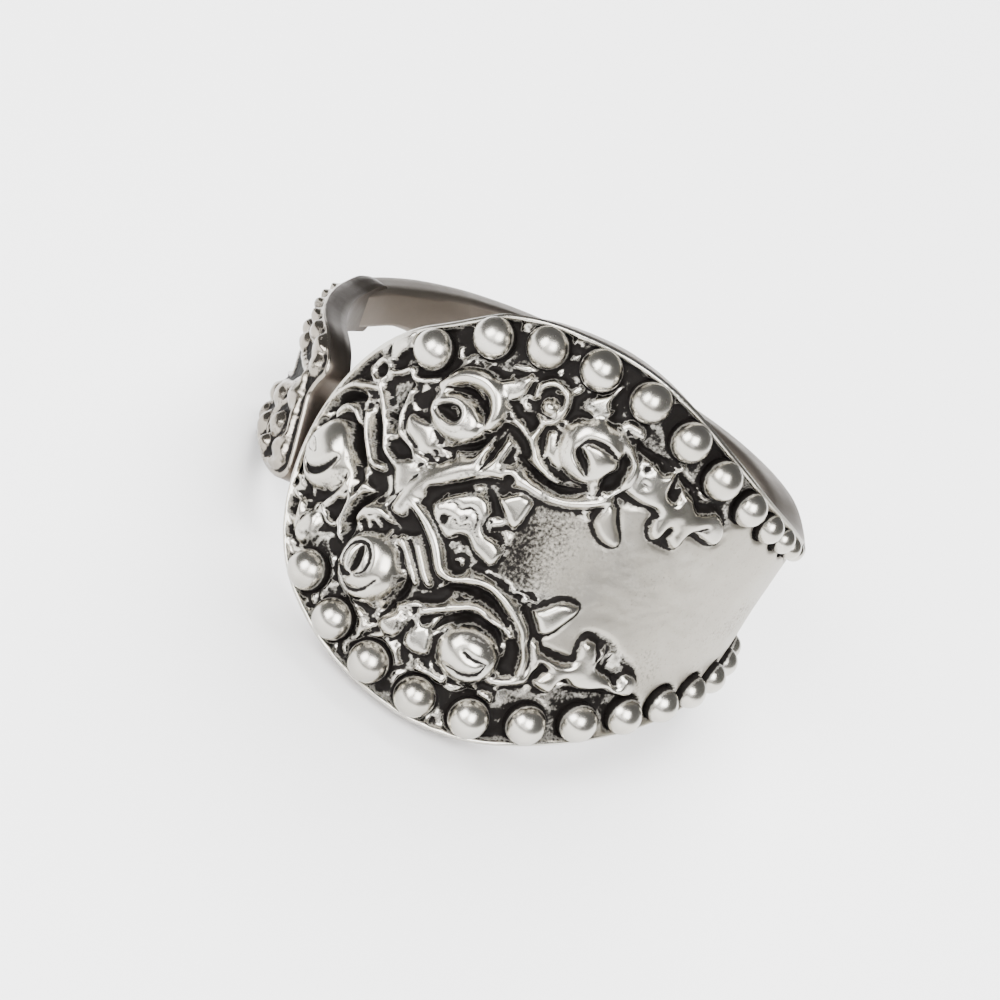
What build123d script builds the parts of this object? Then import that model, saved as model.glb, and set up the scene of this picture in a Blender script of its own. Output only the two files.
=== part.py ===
"""A cast spoon ring: one strip of metal wound once round the finger.

The strip starts as a wide shield with a beaded border, roses and leaves,
narrows through a neck, passes round the back and ends in a small leaf-shaped
tail that turns down beside the shield.  The whole ring is one casting.
"""
import os
from math import cos, radians, sin
from typing import NamedTuple

from build123d import *

os.makedirs("parts", exist_ok=True)

# Driving dimensions, in millimetres
finger_bore = 17.0
wall = 1.35
shield_width = 14.7
neck_width = 5.95
back_width = 4.15
tip_width = 1.75
climb = 3.4
shield_end_radius = 6.3
shield_end_turn = -47.5
lip_height = 0.2
lip_width = 0.22
lip_slope = 0.12
dish = 0.1
bead_diameter = 1.5
bead_gap = 0.47
bead_stand = 0.07       # height of a bead's middle over the face
tail_wall = 1.0
tail_spring = 0.45      # how far the tail stands off the finger
tail_flare = 0.075      # growth of the tail's radius for each unit of height
tail_length = 6.7
tail_bump_diameter = 0.9
tail_rim_width = 0.4
rose_dome = 0.26        # height of a rose over the face, a share of its diameter
petal_relief = 0.42
stem_relief = 0.36
leaf_relief = 0.28
root_depth = 0.35

bore_radius = finger_bore / 2
face_radius = bore_radius + wall
tail_radius = bore_radius + tail_spring + tail_wall
core_radius = 0.8 * bore_radius         # where relief is drawn before it is cut to the ring
clear_height = 4 * shield_width         # past both edges of the ring
shield_end_reach = 0.92                 # half the cut at the shield's end, a share of its radius
surface_tolerance = wall / 50           # how finely the finished ring is measured


class Section(NamedTuple):
    """One cross-section of the strip."""

    turn: float      # degrees round the finger from the front
    rise: float      # height of the middle, a share of climb
    share: float     # width, a share of size
    size: float
    metal: float     # wall, a share of wall
    spring: float    # distance that it stands off the finger, a share of tail_spring


strip = [
    Section(-54, -0.74, 0.38, shield_width, 1.0, 0),
    Section(-40, -0.63, 0.61, shield_width, 1.0, 0),
    Section(-28, -0.61, 0.79, shield_width, 1.0, 0),
    Section(-15, -0.57, 0.93, shield_width, 1.0, 0),
    Section(-3, -0.55, 0.99, shield_width, 1.0, 0),
    Section(8, -0.54, 1.0, shield_width, 1.0, 0),
    Section(20, -0.53, 0.95, shield_width, 1.0, 0),
    Section(35, -0.5, 0.82, shield_width, 1.0, 0),
    Section(50, -0.45, 0.68, shield_width, 1.0, 0),
    Section(65, -0.38, 0.555, shield_width, 1.0, 0),
    Section(80, -0.33, 0.455, shield_width, 1.0, 0),
    Section(95, -0.25, 1.0, neck_width, 1.0, 0),
    Section(115, -0.09, 0.98, neck_width, 1.0, 0),
    Section(140, 0.04, 1.31, back_width, 1.0, 0),
    Section(165, 0.19, 1.03, back_width, 1.0, 0),
    Section(190, 0.26, 0.84, back_width, 0.98, 0),
    Section(215, 0.23, 0.64, back_width, 0.95, 0),
    Section(238, 0.165, 0.98, tip_width, 0.88, 0.35),
    Section(250, 0.06, 1.03, tip_width, 0.79, 0.75),
    Section(262, -0.04, 0.94, tip_width, 0.74, 1.0),
]


class BeadRow(NamedTuple):
    """Size of the border beads at one turn, as shares of bead_diameter."""

    turn: float
    upper: float
    lower: float


bead_rows = [
    BeadRow(-40, 1.0, 1.0),
    BeadRow(35, 1.0, 1.0),
    BeadRow(50, 0.82, 0.94),
    BeadRow(65, 0.66, 0.88),
    BeadRow(90, 0.44, 0.78),
    BeadRow(115, 0.4, 0.5),
]
upper_beads_from = -30
lower_beads_from = -28
beads_to = 104


class Rose(NamedTuple):
    """A rose; across is a share of the shield's half width, size a share of its width."""

    turn: float
    across: float
    size: float


roses = [
    Rose(-17.5, 0.39, 0.17),
    Rose(7.5, 0.535, 0.16),
    Rose(-38.3, -0.19, 0.18),
    Rose(-17.0, -0.49, 0.18),
    Rose(9.0, -0.58, 0.16),
    Rose(-3.3, 0.6, 0.075),
]


# Core, rolled petals and bud of a rose, as shares of its diameter, and their rise as shares of its dome
rose_core = 0.4
outer_petal, outer_roll = 0.37, 0.14
inner_petal, inner_roll, inner_rise = 0.19, 0.1, 0.4
bud, bud_rise = 0.12, 0.55


class Petal(NamedTuple):
    """An arc of raised metal round a rose; radius and thick are shares of the shield's width."""

    rose: int
    radius: float
    start: float
    sweep: float
    thick: float


petals = [
    Petal(1, 0.119, 172, 95, 0.024),
    Petal(4, 0.112, 60, 115, 0.026),
    Petal(4, 0.16, 42, 95, 0.034),
    Petal(4, 0.127, -42, 78, 0.032),
    Petal(0, 0.152, 200, 66, 0.022),
    Petal(0, 0.116, 205, 110, 0.022),
    Petal(2, 0.128, 20, 125, 0.02),
    Petal(3, 0.119, 112, 80, 0.024),
    Petal(3, 0.119, -35, 70, 0.02),
]


class Stem(NamedTuple):
    """A raised stem: its width as a share of the shield's, and its places as turn and across."""

    thick: float
    route: list[tuple[float, float]]


stems = [
    Stem(0.042, [(-17.5, -0.14), (-12.5, 0.11), (-8, 0.2), (-3, 0.265), (4, 0.262)]),
    Stem(0.036, [(3.5, 0.262), (9, 0.27), (13, 0.33), (17, 0.42), (19, 0.52), (17.5, 0.6), (12.5, 0.67)]),
    Stem(0.09, [(-14.5, -0.12), (-9.5, -0.235), (-5.8, -0.38)]),
    Stem(0.03, [(-37.5, 0.2), (-33, 0.17), (-30, 0.07), (-26, -0.01), (-19, -0.1)]),
    Stem(0.028, [(-18, -0.14), (-23, -0.17), (-26.2, -0.28), (-26.5, -0.42)]),
    Stem(0.026, [(-8.5, 0.2), (-7.8, 0.33), (-9, 0.45)]),
    Stem(0.03, [(-10.5, 0.53), (-7.5, 0.49), (-4.5, 0.45)]),
    Stem(0.024, [(-40.5, 0.3), (-38, 0.23), (-35, 0.26)]),
    Stem(0.024, [(-34.5, 0.4), (-31.5, 0.36), (-29.5, 0.26)]),
]


class Leaf(NamedTuple):
    """A flat leaf: its middle, its length as a share of the shield's width, and its outline."""

    turn: float
    across: float
    length: float
    outline: list[tuple[float, float]]


# Outlines give x along the strip and y towards its upper edge, as shares of the leaf's length
upper_spray = [
    (-0.5, -0.06), (-0.23, -0.05), (-0.19, -0.21), (-0.125, -0.3), (-0.05, -0.25), (0.0, -0.13),
    (0.04, -0.26), (0.14, -0.27), (0.17, -0.12), (0.27, -0.02), (0.42, -0.05), (0.5, 0.12), (0.29, 0.12),
    (0.08, 0.18), (-0.06, 0.21), (-0.11, 0.12), (-0.19, 0.13), (-0.24, 0.33), (-0.42, 0.28),
    (-0.44, 0.16), (-0.48, 0.07),
]
lower_spray = [
    (-0.5, -0.03), (-0.31, -0.11), (-0.38, -0.17), (-0.35, -0.28), (-0.19, -0.27), (-0.19, -0.15),
    (-0.135, -0.09), (-0.08, -0.18), (0.1, -0.15), (0.19, -0.065), (0.35, -0.05), (0.48, 0.0), (0.44, 0.13),
    (0.315, 0.13), (0.28, 0.02), (0.1, 0.04), (0.05, 0.22), (0.01, 0.28), (-0.01, 0.11), (-0.046, 0.11),
    (-0.077, 0.23), (-0.135, 0.28), (-0.185, 0.17), (-0.19, 0.04), (-0.5, 0.03),
]
curly_leaf = [
    (-0.5, 0.03), (-0.42, -0.15), (-0.26, -0.2), (-0.1, -0.32), (0.02, -0.29), (0.21, -0.26), (0.28, -0.32),
    (0.43, -0.29), (0.47, -0.12), (0.36, -0.03), (0.16, 0.0), (0.13, 0.18), (-0.05, 0.3), (-0.21, 0.22),
    (-0.36, 0.15),
]
heart_leaf = [(-0.5, 0.1), (-0.45, -0.2), (0.14, -0.46), (0.33, -0.23), (0.37, 0.27), (-0.2, 0.5)]
falling_bud = [
    (-0.4, -0.07), (-0.19, -0.33), (0.05, -0.5), (0.28, -0.43), (0.39, -0.17), (0.11, 0.27), (-0.12, 0.47),
    (-0.38, 0.43),
]
rising_bud = [
    (-0.37, -0.08), (-0.2, -0.3), (0.06, -0.39), (0.25, -0.14), (0.37, 0.3), (0.22, 0.5), (-0.07, 0.36),
    (-0.21, 0.14),
]

leaves = [
    Leaf(31.0, 0.468, 0.29, upper_spray),
    Leaf(33.0, -0.416, 0.31, lower_spray),
    Leaf(-5.0, -0.035, 0.23, curly_leaf),
    Leaf(1.3, 0.128, 0.09, heart_leaf),
    Leaf(19.6, 0.284, 0.1, falling_bud),
    Leaf(19.7, -0.246, 0.12, rising_bud),
    Leaf(3.8, 0.75, 0.12, rising_bud),
    Leaf(-3.5, -0.62, 0.11, falling_bud),
    Leaf(-33.0, -0.42, 0.1, heart_leaf),
    Leaf(-36.0, 0.44, 0.1, heart_leaf),
    Leaf(-22.5, -0.27, 0.09, rising_bud),
    Leaf(18.0, 0.72, 0.1, falling_bud),
]

# Outline of the tail: turn in degrees, height as a share of tail_length
tail_outline = [
    (250, 0.164), (262, 0.112), (272, 0.067), (280, 0.03), (288, 0.0), (295, -0.022), (300, -0.06),
    (304, -0.134), (305, -0.209), (303.5, -0.284), (303, -0.358), (304.5, -0.433), (307, -0.552),
    (309, -0.657), (310, -0.746), (307.5, -0.813), (300, -0.836), (290, -0.821), (279, -0.806),
    (270, -0.761), (266, -0.672), (266, -0.567), (270, -0.478), (278, -0.418), (286, -0.373), (281, -0.321),
    (272, -0.284), (267, -0.209), (262, -0.142), (256, -0.112), (250, -0.104),
]
tail_middle_turn = 282

# Middle line of the rim along the tail's end edge, in the same terms
tail_rim_route = [(298, -0.3), (300.5, -0.42), (303, -0.54), (305, -0.65), (305.5, -0.74), (300, -0.79)]


class Bump(NamedTuple):
    """A dome on the tail; height is a share of tail_length, size of tail_bump_diameter."""

    turn: float
    height: float
    size: float


tail_bumps = [
    Bump(264, 0.05, 0.72),
    Bump(270.5, 0.022, 0.74),
    Bump(277, -0.006, 0.76),
    Bump(284, -0.036, 0.8),
    Bump(291, -0.082, 0.95),
    Bump(298, -0.115, 1.1),
    Bump(300.5, -0.205, 0.85),
    Bump(286, -0.19, 0.9),
    Bump(277, -0.16, 0.8),
    Bump(298.5, -0.415, 1.1),
    Bump(296.5, -0.61, 0.95),
    Bump(303.5, -0.68, 0.95),
    Bump(288.5, -0.5, 1.0),
    Bump(286, -0.7, 1.0),
    Bump(277.5, -0.56, 0.95),
    Bump(276, -0.7, 0.85),
    Bump(295, -0.745, 0.75),
]

# Places where the lower edge meets the surface that the ring lies on
front_foot_turn = 3.8
back_foot_turn = 148.4
tail_foot_turn = 268.1
tail_foot_height = -0.761       # a share of tail_length


def face_radius_of(row: Section) -> float:
    """Radius of the strip's outer face at one section."""
    return bore_radius + row.metal * wall + row.spring * tail_spring


def tail_face_radius(height: float) -> float:
    """Radius of the tail's outer face, which flares a little towards its upper edge."""
    return tail_radius + tail_flare * height


def blend(turn: float) -> tuple[float, float, float]:
    """Lower edge, upper edge and face radius of the strip, smoothly between its sections."""
    index = max(i for i, row in enumerate(strip[:-1]) if row.turn <= max(turn, strip[0].turn))
    before, low, high, after = (strip[max(0, min(len(strip) - 1, index + step))] for step in (-1, 0, 1, 2))
    share = (turn - low.turn) / (high.turn - low.turn)

    def between(value) -> float:
        start = (value(high) - value(before)) / (high.turn - before.turn) * (high.turn - low.turn)
        end = (value(after) - value(low)) / (after.turn - low.turn) * (high.turn - low.turn)
        square, cube = share**2, share**3
        return (
            (2 * cube - 3 * square + 1) * value(low)
            + (cube - 2 * square + share) * start
            + (3 * square - 2 * cube) * value(high)
            + (cube - square) * end
        )

    middle = between(lambda row: row.rise * climb)
    half = between(lambda row: row.share * row.size) / 2
    return middle - half, middle + half, between(face_radius_of)


def seat(turn: float, height: float, radius: float) -> Plane:
    """Plane that touches a cylinder of this radius, with x along the strip and z outwards."""
    angle = radians(turn)
    outward = Vector(sin(angle), -cos(angle), 0)
    along = Vector(cos(angle), sin(angle), 0)
    return Plane(origin=outward * radius + Vector(0, 0, height), x_dir=along, z_dir=outward)


def height_at(across: float) -> float:
    """Height of a place given across the shield, 0 on its middle line and 1 at its upper rim."""
    front = max(strip, key=lambda row: row.share * row.size)
    return front.rise * climb + across * shield_width / 2


# The strip, with a raised lip along both edges and a slightly dished face between them
with BuildPart() as band:
    for row in strip:
        with BuildSketch(Plane(origin=(0, 0, 0), x_dir=(sin(radians(row.turn)), -cos(radians(row.turn)), 0),
                               z_dir=(-cos(radians(row.turn)), -sin(radians(row.turn)), 0))):
            radius = face_radius_of(row)
            middle = row.rise * climb
            half = row.share * row.size / 2
            inner = bore_radius + row.spring * tail_spring if row.spring else bore_radius - root_depth
            floor_half = half - lip_width - lip_slope
            with BuildLine():
                Polyline(
                    (radius, middle + floor_half),
                    (radius + lip_height, middle + half - lip_width),
                    (radius + lip_height, middle + half),
                    (inner, middle + half),
                    (inner, middle - half),
                    (radius + lip_height, middle - half),
                    (radius + lip_height, middle - half + lip_width),
                    (radius, middle - floor_half),
                )
                ThreePointArc(
                    (radius, middle - floor_half),
                    (radius - dish, middle),
                    (radius, middle + floor_half),
                )
            make_face()
    loft()
    # Round end of the shield
    end_low, end_high, _ = blend(shield_end_turn)
    with BuildSketch(seat(shield_end_turn, (end_low + end_high) / 2, face_radius)):
        with BuildLine():
            reach = shield_end_radius * shield_end_reach
            sagitta = shield_end_radius - (shield_end_radius**2 - reach**2) ** 0.5
            ThreePointArc((sagitta, -reach), (0, 0), (sagitta, reach))
            Polyline((sagitta, reach), (-reach, reach), (-reach, -reach), (sagitta, -reach))
        make_face()
    extrude(amount=2 * wall, both=True, mode=Mode.SUBTRACT)
    Cylinder(radius=bore_radius, height=clear_height, mode=Mode.SUBTRACT)


def tail_place(turn: float, share: float) -> tuple[float, float]:
    """Point of the tail on the flat plane that touches its middle."""
    return tail_radius * sin(radians(turn - tail_middle_turn)), share * tail_length


def flared_core(radius: float, mode: Mode) -> None:
    """Solid cone on the finger's axis, of this radius at height 0, taller than the tail."""
    reach = 2 * tail_length
    Cone(
        bottom_radius=radius - tail_flare * reach,
        top_radius=radius + tail_flare * reach,
        height=2 * reach,
        mode=mode,
    )


# The tail: a leaf-shaped patch of a thinner, slightly flared tube
with BuildPart() as tail:
    with BuildSketch(seat(tail_middle_turn, 0, core_radius)):
        with BuildLine():
            Spline([tail_place(turn, share) for turn, share in tail_outline], periodic=True)
        make_face()
    extrude(amount=bore_radius)
    flared_core(tail_radius - tail_wall, Mode.SUBTRACT)
    flared_core(tail_radius, Mode.INTERSECT)

# Raised rim along the tail's end edge
with BuildPart() as tail_rim:
    with BuildSketch(seat(tail_middle_turn, 0, core_radius)):
        with BuildLine():
            Spline([tail_place(turn, share) for turn, share in tail_rim_route])
        trace(line_width=tail_rim_width)
    extrude(amount=bore_radius)
    flared_core(tail_radius - root_depth, Mode.SUBTRACT)
    flared_core(tail_radius + lip_height, Mode.INTERSECT)


def bead_radius_at(turn: float, side: int) -> float:
    """Radius of the border beads on one edge, between the rows of the table."""
    low = max((row for row in bead_rows[:-1] if row.turn <= turn), key=lambda row: row.turn)
    high = bead_rows[bead_rows.index(low) + 1]
    share = (turn - low.turn) / (high.turn - low.turn)
    ends = (low.upper, high.upper) if side > 0 else (low.lower, high.lower)
    return bead_diameter / 2 * (ends[0] + share * (ends[1] - ends[0]))


def border(side: int, first: float) -> list[tuple[float, float, float]]:
    """Turn, height and radius of each bead along one edge, spaced by their size."""
    places = []
    turn = first
    while turn < beads_to:
        low, high, _ = blend(turn)
        size = bead_radius_at(turn, side)
        inset = size + lip_width / 2
        height = high - inset if side > 0 else low + inset
        places.append((turn, height, size))
        ahead = blend(turn + 1)
        slope = (ahead[1] - high) if side > 0 else (ahead[0] - low)
        step = 2 * size * (1 + bead_gap / bead_diameter)
        turn += step / ((radians(1) * face_radius) ** 2 + slope**2) ** 0.5
    return places


# Beads along both edges of the strip, and domes on the tail
with BuildPart() as beads:
    for side, first in ((1, upper_beads_from), (-1, lower_beads_from)):
        for turn, height, size in border(side, first):
            with Locations(seat(turn, height, blend(turn)[2] + bead_stand).location):
                Sphere(radius=size)
    for bump in tail_bumps:
        height = bump.height * tail_length
        with Locations(seat(bump.turn, height, tail_face_radius(height)).location):
            Sphere(radius=bump.size * tail_bump_diameter / 2)


def add_rose(size: float) -> None:
    """Rose of two rolled petals round a bud, on the current location."""
    dome = rose_dome * size
    Cylinder(
        radius=rose_core * size,
        height=root_depth + dome / 2,
        align=(Align.CENTER, Align.CENTER, Align.MIN),
    )
    with Locations((0, 0, root_depth)):
        Torus(major_radius=outer_petal * size, minor_radius=outer_roll * size)
    with Locations((0, 0, root_depth + inner_rise * dome)):
        Torus(major_radius=inner_petal * size, minor_radius=inner_roll * size)
    with Locations((0, 0, root_depth + bud_rise * dome)):
        Sphere(radius=bud * size)


# Roses
with BuildPart() as flowers:
    for rose in roses:
        with Locations(seat(rose.turn, height_at(rose.across), face_radius - root_depth).location):
            add_rose(rose.size * shield_width)

# Rolled petals round the roses, as raised arcs
with BuildPart() as arcs:
    for petal in petals:
        rose = roses[petal.rose]
        with BuildSketch(seat(rose.turn, height_at(rose.across), core_radius)):
            with BuildLine():
                CenterArc((0, 0), petal.radius * shield_width, petal.start, petal.sweep)
            trace(line_width=petal.thick * shield_width)
        extrude(amount=bore_radius)
    Cylinder(radius=face_radius + petal_relief, height=clear_height, mode=Mode.INTERSECT)

# Stems laid along the face
with BuildPart() as branches:
    for stem in stems:
        middle_turn = (stem.route[0][0] + stem.route[-1][0]) / 2
        with BuildSketch(seat(middle_turn, 0, core_radius)):
            with BuildLine():
                Spline([
                    (face_radius * sin(radians(turn - middle_turn)), height_at(across))
                    for turn, across in stem.route
                ])
            trace(line_width=stem.thick * shield_width)
        extrude(amount=bore_radius)
    Cylinder(radius=face_radius + stem_relief, height=clear_height, mode=Mode.INTERSECT)

# Leaves standing a little above the face
with BuildPart() as foliage:
    for leaf in leaves:
        size = leaf.length * shield_width
        with BuildSketch(seat(leaf.turn, height_at(leaf.across), core_radius)):
            with BuildLine():
                Polyline([(x * size, y * size) for x, y in leaf.outline], close=True)
            make_face()
        extrude(amount=bore_radius)
    Cylinder(radius=face_radius + leaf_relief, height=clear_height, mode=Mode.INTERSECT)

# The whole casting, still upright on the finger's axis
with BuildPart() as casting:
    add(band.part)
    add(tail.part)
    add(tail_rim.part)
    add(beads.part)
    add(flowers.part)
    add(arcs.part)
    add(branches.part)
    add(foliage.part)
    Cylinder(radius=bore_radius, height=clear_height, mode=Mode.SUBTRACT)


# The ring lies on its side on three places of its lower edge: the finger side of the
# shield and of the tail, and the outer side of the back
tail_foot_level = tail_foot_height * tail_length
feet = [
    seat(front_foot_turn, blend(front_foot_turn)[0], bore_radius).origin,
    seat(back_foot_turn, blend(back_foot_turn)[0], blend(back_foot_turn)[2] + lip_height).origin,
    seat(tail_foot_turn, tail_foot_level, tail_face_radius(tail_foot_level) - tail_wall).origin,
]
up = (feet[2] - feet[0]).cross(feet[1] - feet[0]).normalized()
up = up if up.Z > 0 else -up
lying = Plane(origin=feet[0], x_dir=Vector(1, 0, 0) - up * up.X, z_dir=up).location.inverse()
surface, _ = casting.part.moved(lying).tessellate(surface_tolerance)
middle_x = (min(point.X for point in surface) + max(point.X for point in surface)) / 2
middle_y = (min(point.Y for point in surface) + max(point.Y for point in surface)) / 2
centred = Location((-middle_x, -middle_y, -min(point.Z for point in surface)))
with BuildPart() as spoon_ring:
    with Locations(centred * lying):
        add(casting.part, clean=False)

spoon_ring.part.label = "spoon_ring"
export_step(spoon_ring.part, "parts/spoon_ring.step")
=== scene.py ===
import logging
import math
from dataclasses import dataclass, field
from enum import Enum
from typing import Callable, Iterable, Sequence

import bmesh
import bpy
import numpy as np
from mathutils import Matrix, Vector


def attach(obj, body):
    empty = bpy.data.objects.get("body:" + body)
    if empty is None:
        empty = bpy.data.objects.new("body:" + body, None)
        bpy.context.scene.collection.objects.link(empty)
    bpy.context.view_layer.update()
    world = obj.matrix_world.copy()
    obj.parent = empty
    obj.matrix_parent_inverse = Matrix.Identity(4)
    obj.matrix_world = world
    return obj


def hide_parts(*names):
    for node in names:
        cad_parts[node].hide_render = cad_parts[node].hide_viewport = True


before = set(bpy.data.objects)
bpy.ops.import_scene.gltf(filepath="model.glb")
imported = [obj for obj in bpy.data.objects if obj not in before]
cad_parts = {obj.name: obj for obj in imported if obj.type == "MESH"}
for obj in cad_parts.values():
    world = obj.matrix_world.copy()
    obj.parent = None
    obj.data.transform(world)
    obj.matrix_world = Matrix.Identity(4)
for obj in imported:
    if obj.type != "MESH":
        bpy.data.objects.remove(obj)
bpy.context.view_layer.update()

LOG = logging.getLogger("spoon_ring")
MM = 0.001
BODY = "root"
NODE = "spoon_ring"

# The ring's sizes, in millimetres and degrees round the finger
BORE = 8.5
FACE = 9.85
DEGREE = math.radians(1) * FACE          # length of one degree on the face
SHIELD, NECK, BACK, TIP, CLIMB = 14.7, 5.95, 4.15, 1.75, 3.4
SPRING = 0.45
LIP, LIP_WIDTH = 0.2, 0.22
END_RADIUS, END_TURN = 6.3, -47.5
ROUND_TO = (-33.0, -20.0)                # turns over which the round end gives way to the straight edges
BEAD, BEAD_GAP, BEAD_STAND, BEADS_TO = 1.5, 0.47, 0.07, 104.0
TAIL_FACE, TAIL_WALL, TAIL_FLARE, TAIL_LENGTH, TAIL_TURN = 9.95, 1.0, 0.075, 6.7, 282.0
TAIL_BUMP = 0.9
LIP_FADE = (232.0, 250.0)                # turns over which the strip's lip dies away towards the tail
SUNK = 0.3                               # how deep the strip's end and the tail's start run into each other
STRIP_SUNK, TAIL_SUNK = (253.0, 262.0), (250.0, 257.0)
EDGE_DROP, EDGE_ROUND = 0.1, 0.09        # depth and width of the rounding along an edge
GROUND = -0.16                           # height of the ornament's ground over the face
FULL = 1.3                               # how full the raised lines are
MERGE = 0.000002                         # points closer than this are one, in metres

# turn, height of the middle / CLIMB, width / size, size, wall / 1.35, spring / SPRING
STRIP = (
    (-54, -.74, .38, SHIELD, 1, 0), (-40, -.63, .61, SHIELD, 1, 0), (-28, -.61, .79, SHIELD, 1, 0),
    (-15, -.57, .93, SHIELD, 1, 0), (-3, -.55, .99, SHIELD, 1, 0), (8, -.54, 1, SHIELD, 1, 0),
    (20, -.53, .95, SHIELD, 1, 0), (35, -.5, .82, SHIELD, 1, 0), (50, -.45, .68, SHIELD, 1, 0),
    (65, -.38, .555, SHIELD, 1, 0), (80, -.33, .455, SHIELD, 1, 0), (95, -.25, 1, NECK, 1, 0),
    (115, -.09, .98, NECK, 1, 0), (140, .04, 1.31, BACK, 1, 0), (165, .19, 1.03, BACK, 1, 0),
    (190, .26, .84, BACK, .98, 0), (215, .23, .64, BACK, .95, 0), (238, .165, .98, TIP, .88, .35),
    (250, .06, 1.03, TIP, .79, .75), (262, -.04, .94, TIP, .74, 1),
)
# turn, size of the upper and lower border beads / BEAD
BEAD_ROWS = ((-40, 1, 1), (35, 1, 1), (50, .82, .94), (65, .66, .88), (90, .44, .78), (115, .4, .5))


class Edge(Enum):
    """An edge of the strip, and the side of its middle that it is on."""

    UPPER = 1
    LOWER = -1


FIRST_BEADS = {Edge.UPPER: -30.0, Edge.LOWER: -28.0}
TAIL_OUTLINE = (
    (250, .164), (262, .112), (272, .067), (280, .03), (288, 0), (295, -.022), (300, -.06), (304, -.134),
    (305, -.209), (303.5, -.284), (303, -.358), (304.5, -.433), (307, -.552), (309, -.657), (310, -.746),
    (307.5, -.813), (300, -.836), (290, -.821), (279, -.806), (270, -.761), (266, -.672), (266, -.567),
    (270, -.478), (278, -.418), (286, -.373), (281, -.321), (272, -.284), (267, -.209), (262, -.142),
    (256, -.112), (250, -.104),
)
TAIL_BUMPS = (
    (264, .05, .72), (270.5, .022, .74), (277, -.006, .76), (284, -.036, .8), (291, -.082, .95),
    (298, -.115, 1.1), (300.5, -.205, .85), (286, -.19, .9), (277, -.16, .8), (298.5, -.415, 1.1),
    (296.5, -.61, .95), (303.5, -.68, .95), (288.5, -.5, 1), (286, -.7, 1), (277.5, -.56, .95),
    (276, -.7, .85), (295, -.745, .75),
)
Route = Sequence[tuple[float, float]]
Part = tuple[slice, slice]               # part of a face's chart
WHOLE: Part = (slice(None), slice(None))


# ---------------------------------------------------------------------------- placing
@dataclass(frozen=True)
class Lying:
    """The ring's place: from upright on the finger's axis to lying on its side on the floor."""

    rows: tuple = ((0.999123, 0.016291, -0.038571), (0.0, 0.921198, 0.389094), (0.04187, -0.388753, 0.92039))
    shift: tuple = (-0.1558, 1.4038, 5.1665)

    def points(self, turn: np.ndarray, radius: np.ndarray, height: np.ndarray) -> np.ndarray:
        """Places of points of the upright ring.

        Args:
            turn: degrees round the finger from the front.
            radius: distance from the finger's axis, in mm.
            height: height along the finger's axis, in mm.

        Returns:
            The points in metres, one row each.
        """
        angle = np.radians(turn)
        upright = np.stack([radius * np.sin(angle), -radius * np.cos(angle), height + 0 * radius], axis=-1)
        return (upright @ np.array(self.rows).T + np.array(self.shift)) * MM

    def direction(self, upright: Vector) -> Vector:
        """Direction in the scene of a direction of the upright ring."""
        return (Matrix(self.rows) @ upright).normalized()


LYING = Lying()


@dataclass(frozen=True)
class Strip:
    """Edges and radii of the wound strip."""

    @staticmethod
    def _between(turn: float, value: Callable[[tuple], float]) -> float:
        """Smooth value between the rows of the strip's table.

        Args:
            turn: degrees round the finger.
            value: what to read from a row.

        Returns:
            The value at that turn.
        """
        index = max(i for i, row in enumerate(STRIP[:-1]) if row[0] <= max(turn, STRIP[0][0]))
        before, low, high, after = (STRIP[max(0, min(len(STRIP) - 1, index + k))] for k in (-1, 0, 1, 2))
        span = high[0] - low[0]
        t = (turn - low[0]) / span
        start = (value(high) - value(before)) / (high[0] - before[0]) * span
        end = (value(after) - value(low)) / (after[0] - low[0]) * span
        return ((2 * t**3 - 3 * t**2 + 1) * value(low) + (t**3 - 2 * t**2 + t) * start
                + (3 * t**2 - 2 * t**3) * value(high) + (t**3 - t**2) * end)

    def at(self, turn: float) -> tuple[float, float, float, float]:
        """Section of the strip before its end is rounded.

        Args:
            turn: degrees round the finger.

        Returns:
            Lower edge, upper edge, face radius and inner radius, in mm.
        """
        middle = self._between(turn, lambda row: row[1] * CLIMB)
        half = self._between(turn, lambda row: row[2] * row[3]) / 2
        face = self._between(turn, lambda row: BORE + row[4] * (FACE - BORE) + row[5] * SPRING)
        inner = self._between(turn, lambda row: BORE + row[5] * SPRING)
        return middle - half, middle + half, face, max(BORE, inner)

    def end_middle(self) -> float:
        """Height of the middle of the shield's round end."""
        low, high, _, _ = self.at(END_TURN)
        return (low + high) / 2

    def edges(self, turn: float) -> tuple[float, float, float, float]:
        """Section of the finished strip, with the shield's round end.

        Args:
            turn: degrees round the finger.

        Returns:
            Lower edge, upper edge, face radius and inner radius, in mm.
        """
        low, high, face, inner = self.at(turn)
        if turn < ROUND_TO[1]:
            away = max(0.0, END_RADIUS - FACE * math.sin(math.radians(turn - END_TURN)))
            half = math.sqrt(max(0.0, END_RADIUS**2 - away**2))
            past = float(ramp(np.array(turn), *ROUND_TO))
            low += (1 - past) * (max(low, self.end_middle() - half) - low)
            high += (1 - past) * (min(high, self.end_middle() + half) - high)
        return low, high, face, inner


STRIP_FORM = Strip()


# ---------------------------------------------------------------------------- carving
def flowing(route: Route, steps: int = 7, closed: bool = False) -> np.ndarray:
    """Smooth line through places on the face.

    Args:
        route: places as turn in degrees and height in mm.
        steps: points for each stretch between two places.
        closed: whether the line comes back to its start.

    Returns:
        Points in mm along and across the face, one row each.
    """
    places = np.array([(turn * DEGREE, height) for turn, height in route], float)
    count = len(places)
    ends = count if closed else count - 1
    points = []
    for i in range(ends):
        near = [places[(i + k) % count] if closed else places[min(max(i + k, 0), count - 1)] for k in (-1, 0, 1, 2)]
        for step in range(steps):
            t = step / steps
            points.append(0.5 * (2 * near[1] + (near[2] - near[0]) * t
                                 + (2 * near[0] - 5 * near[1] + 4 * near[2] - near[3]) * t**2
                                 + (3 * near[1] - near[0] - 3 * near[2] + near[3]) * t**3))
    if not closed:
        points.append(places[-1])
    return np.array(points)


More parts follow.
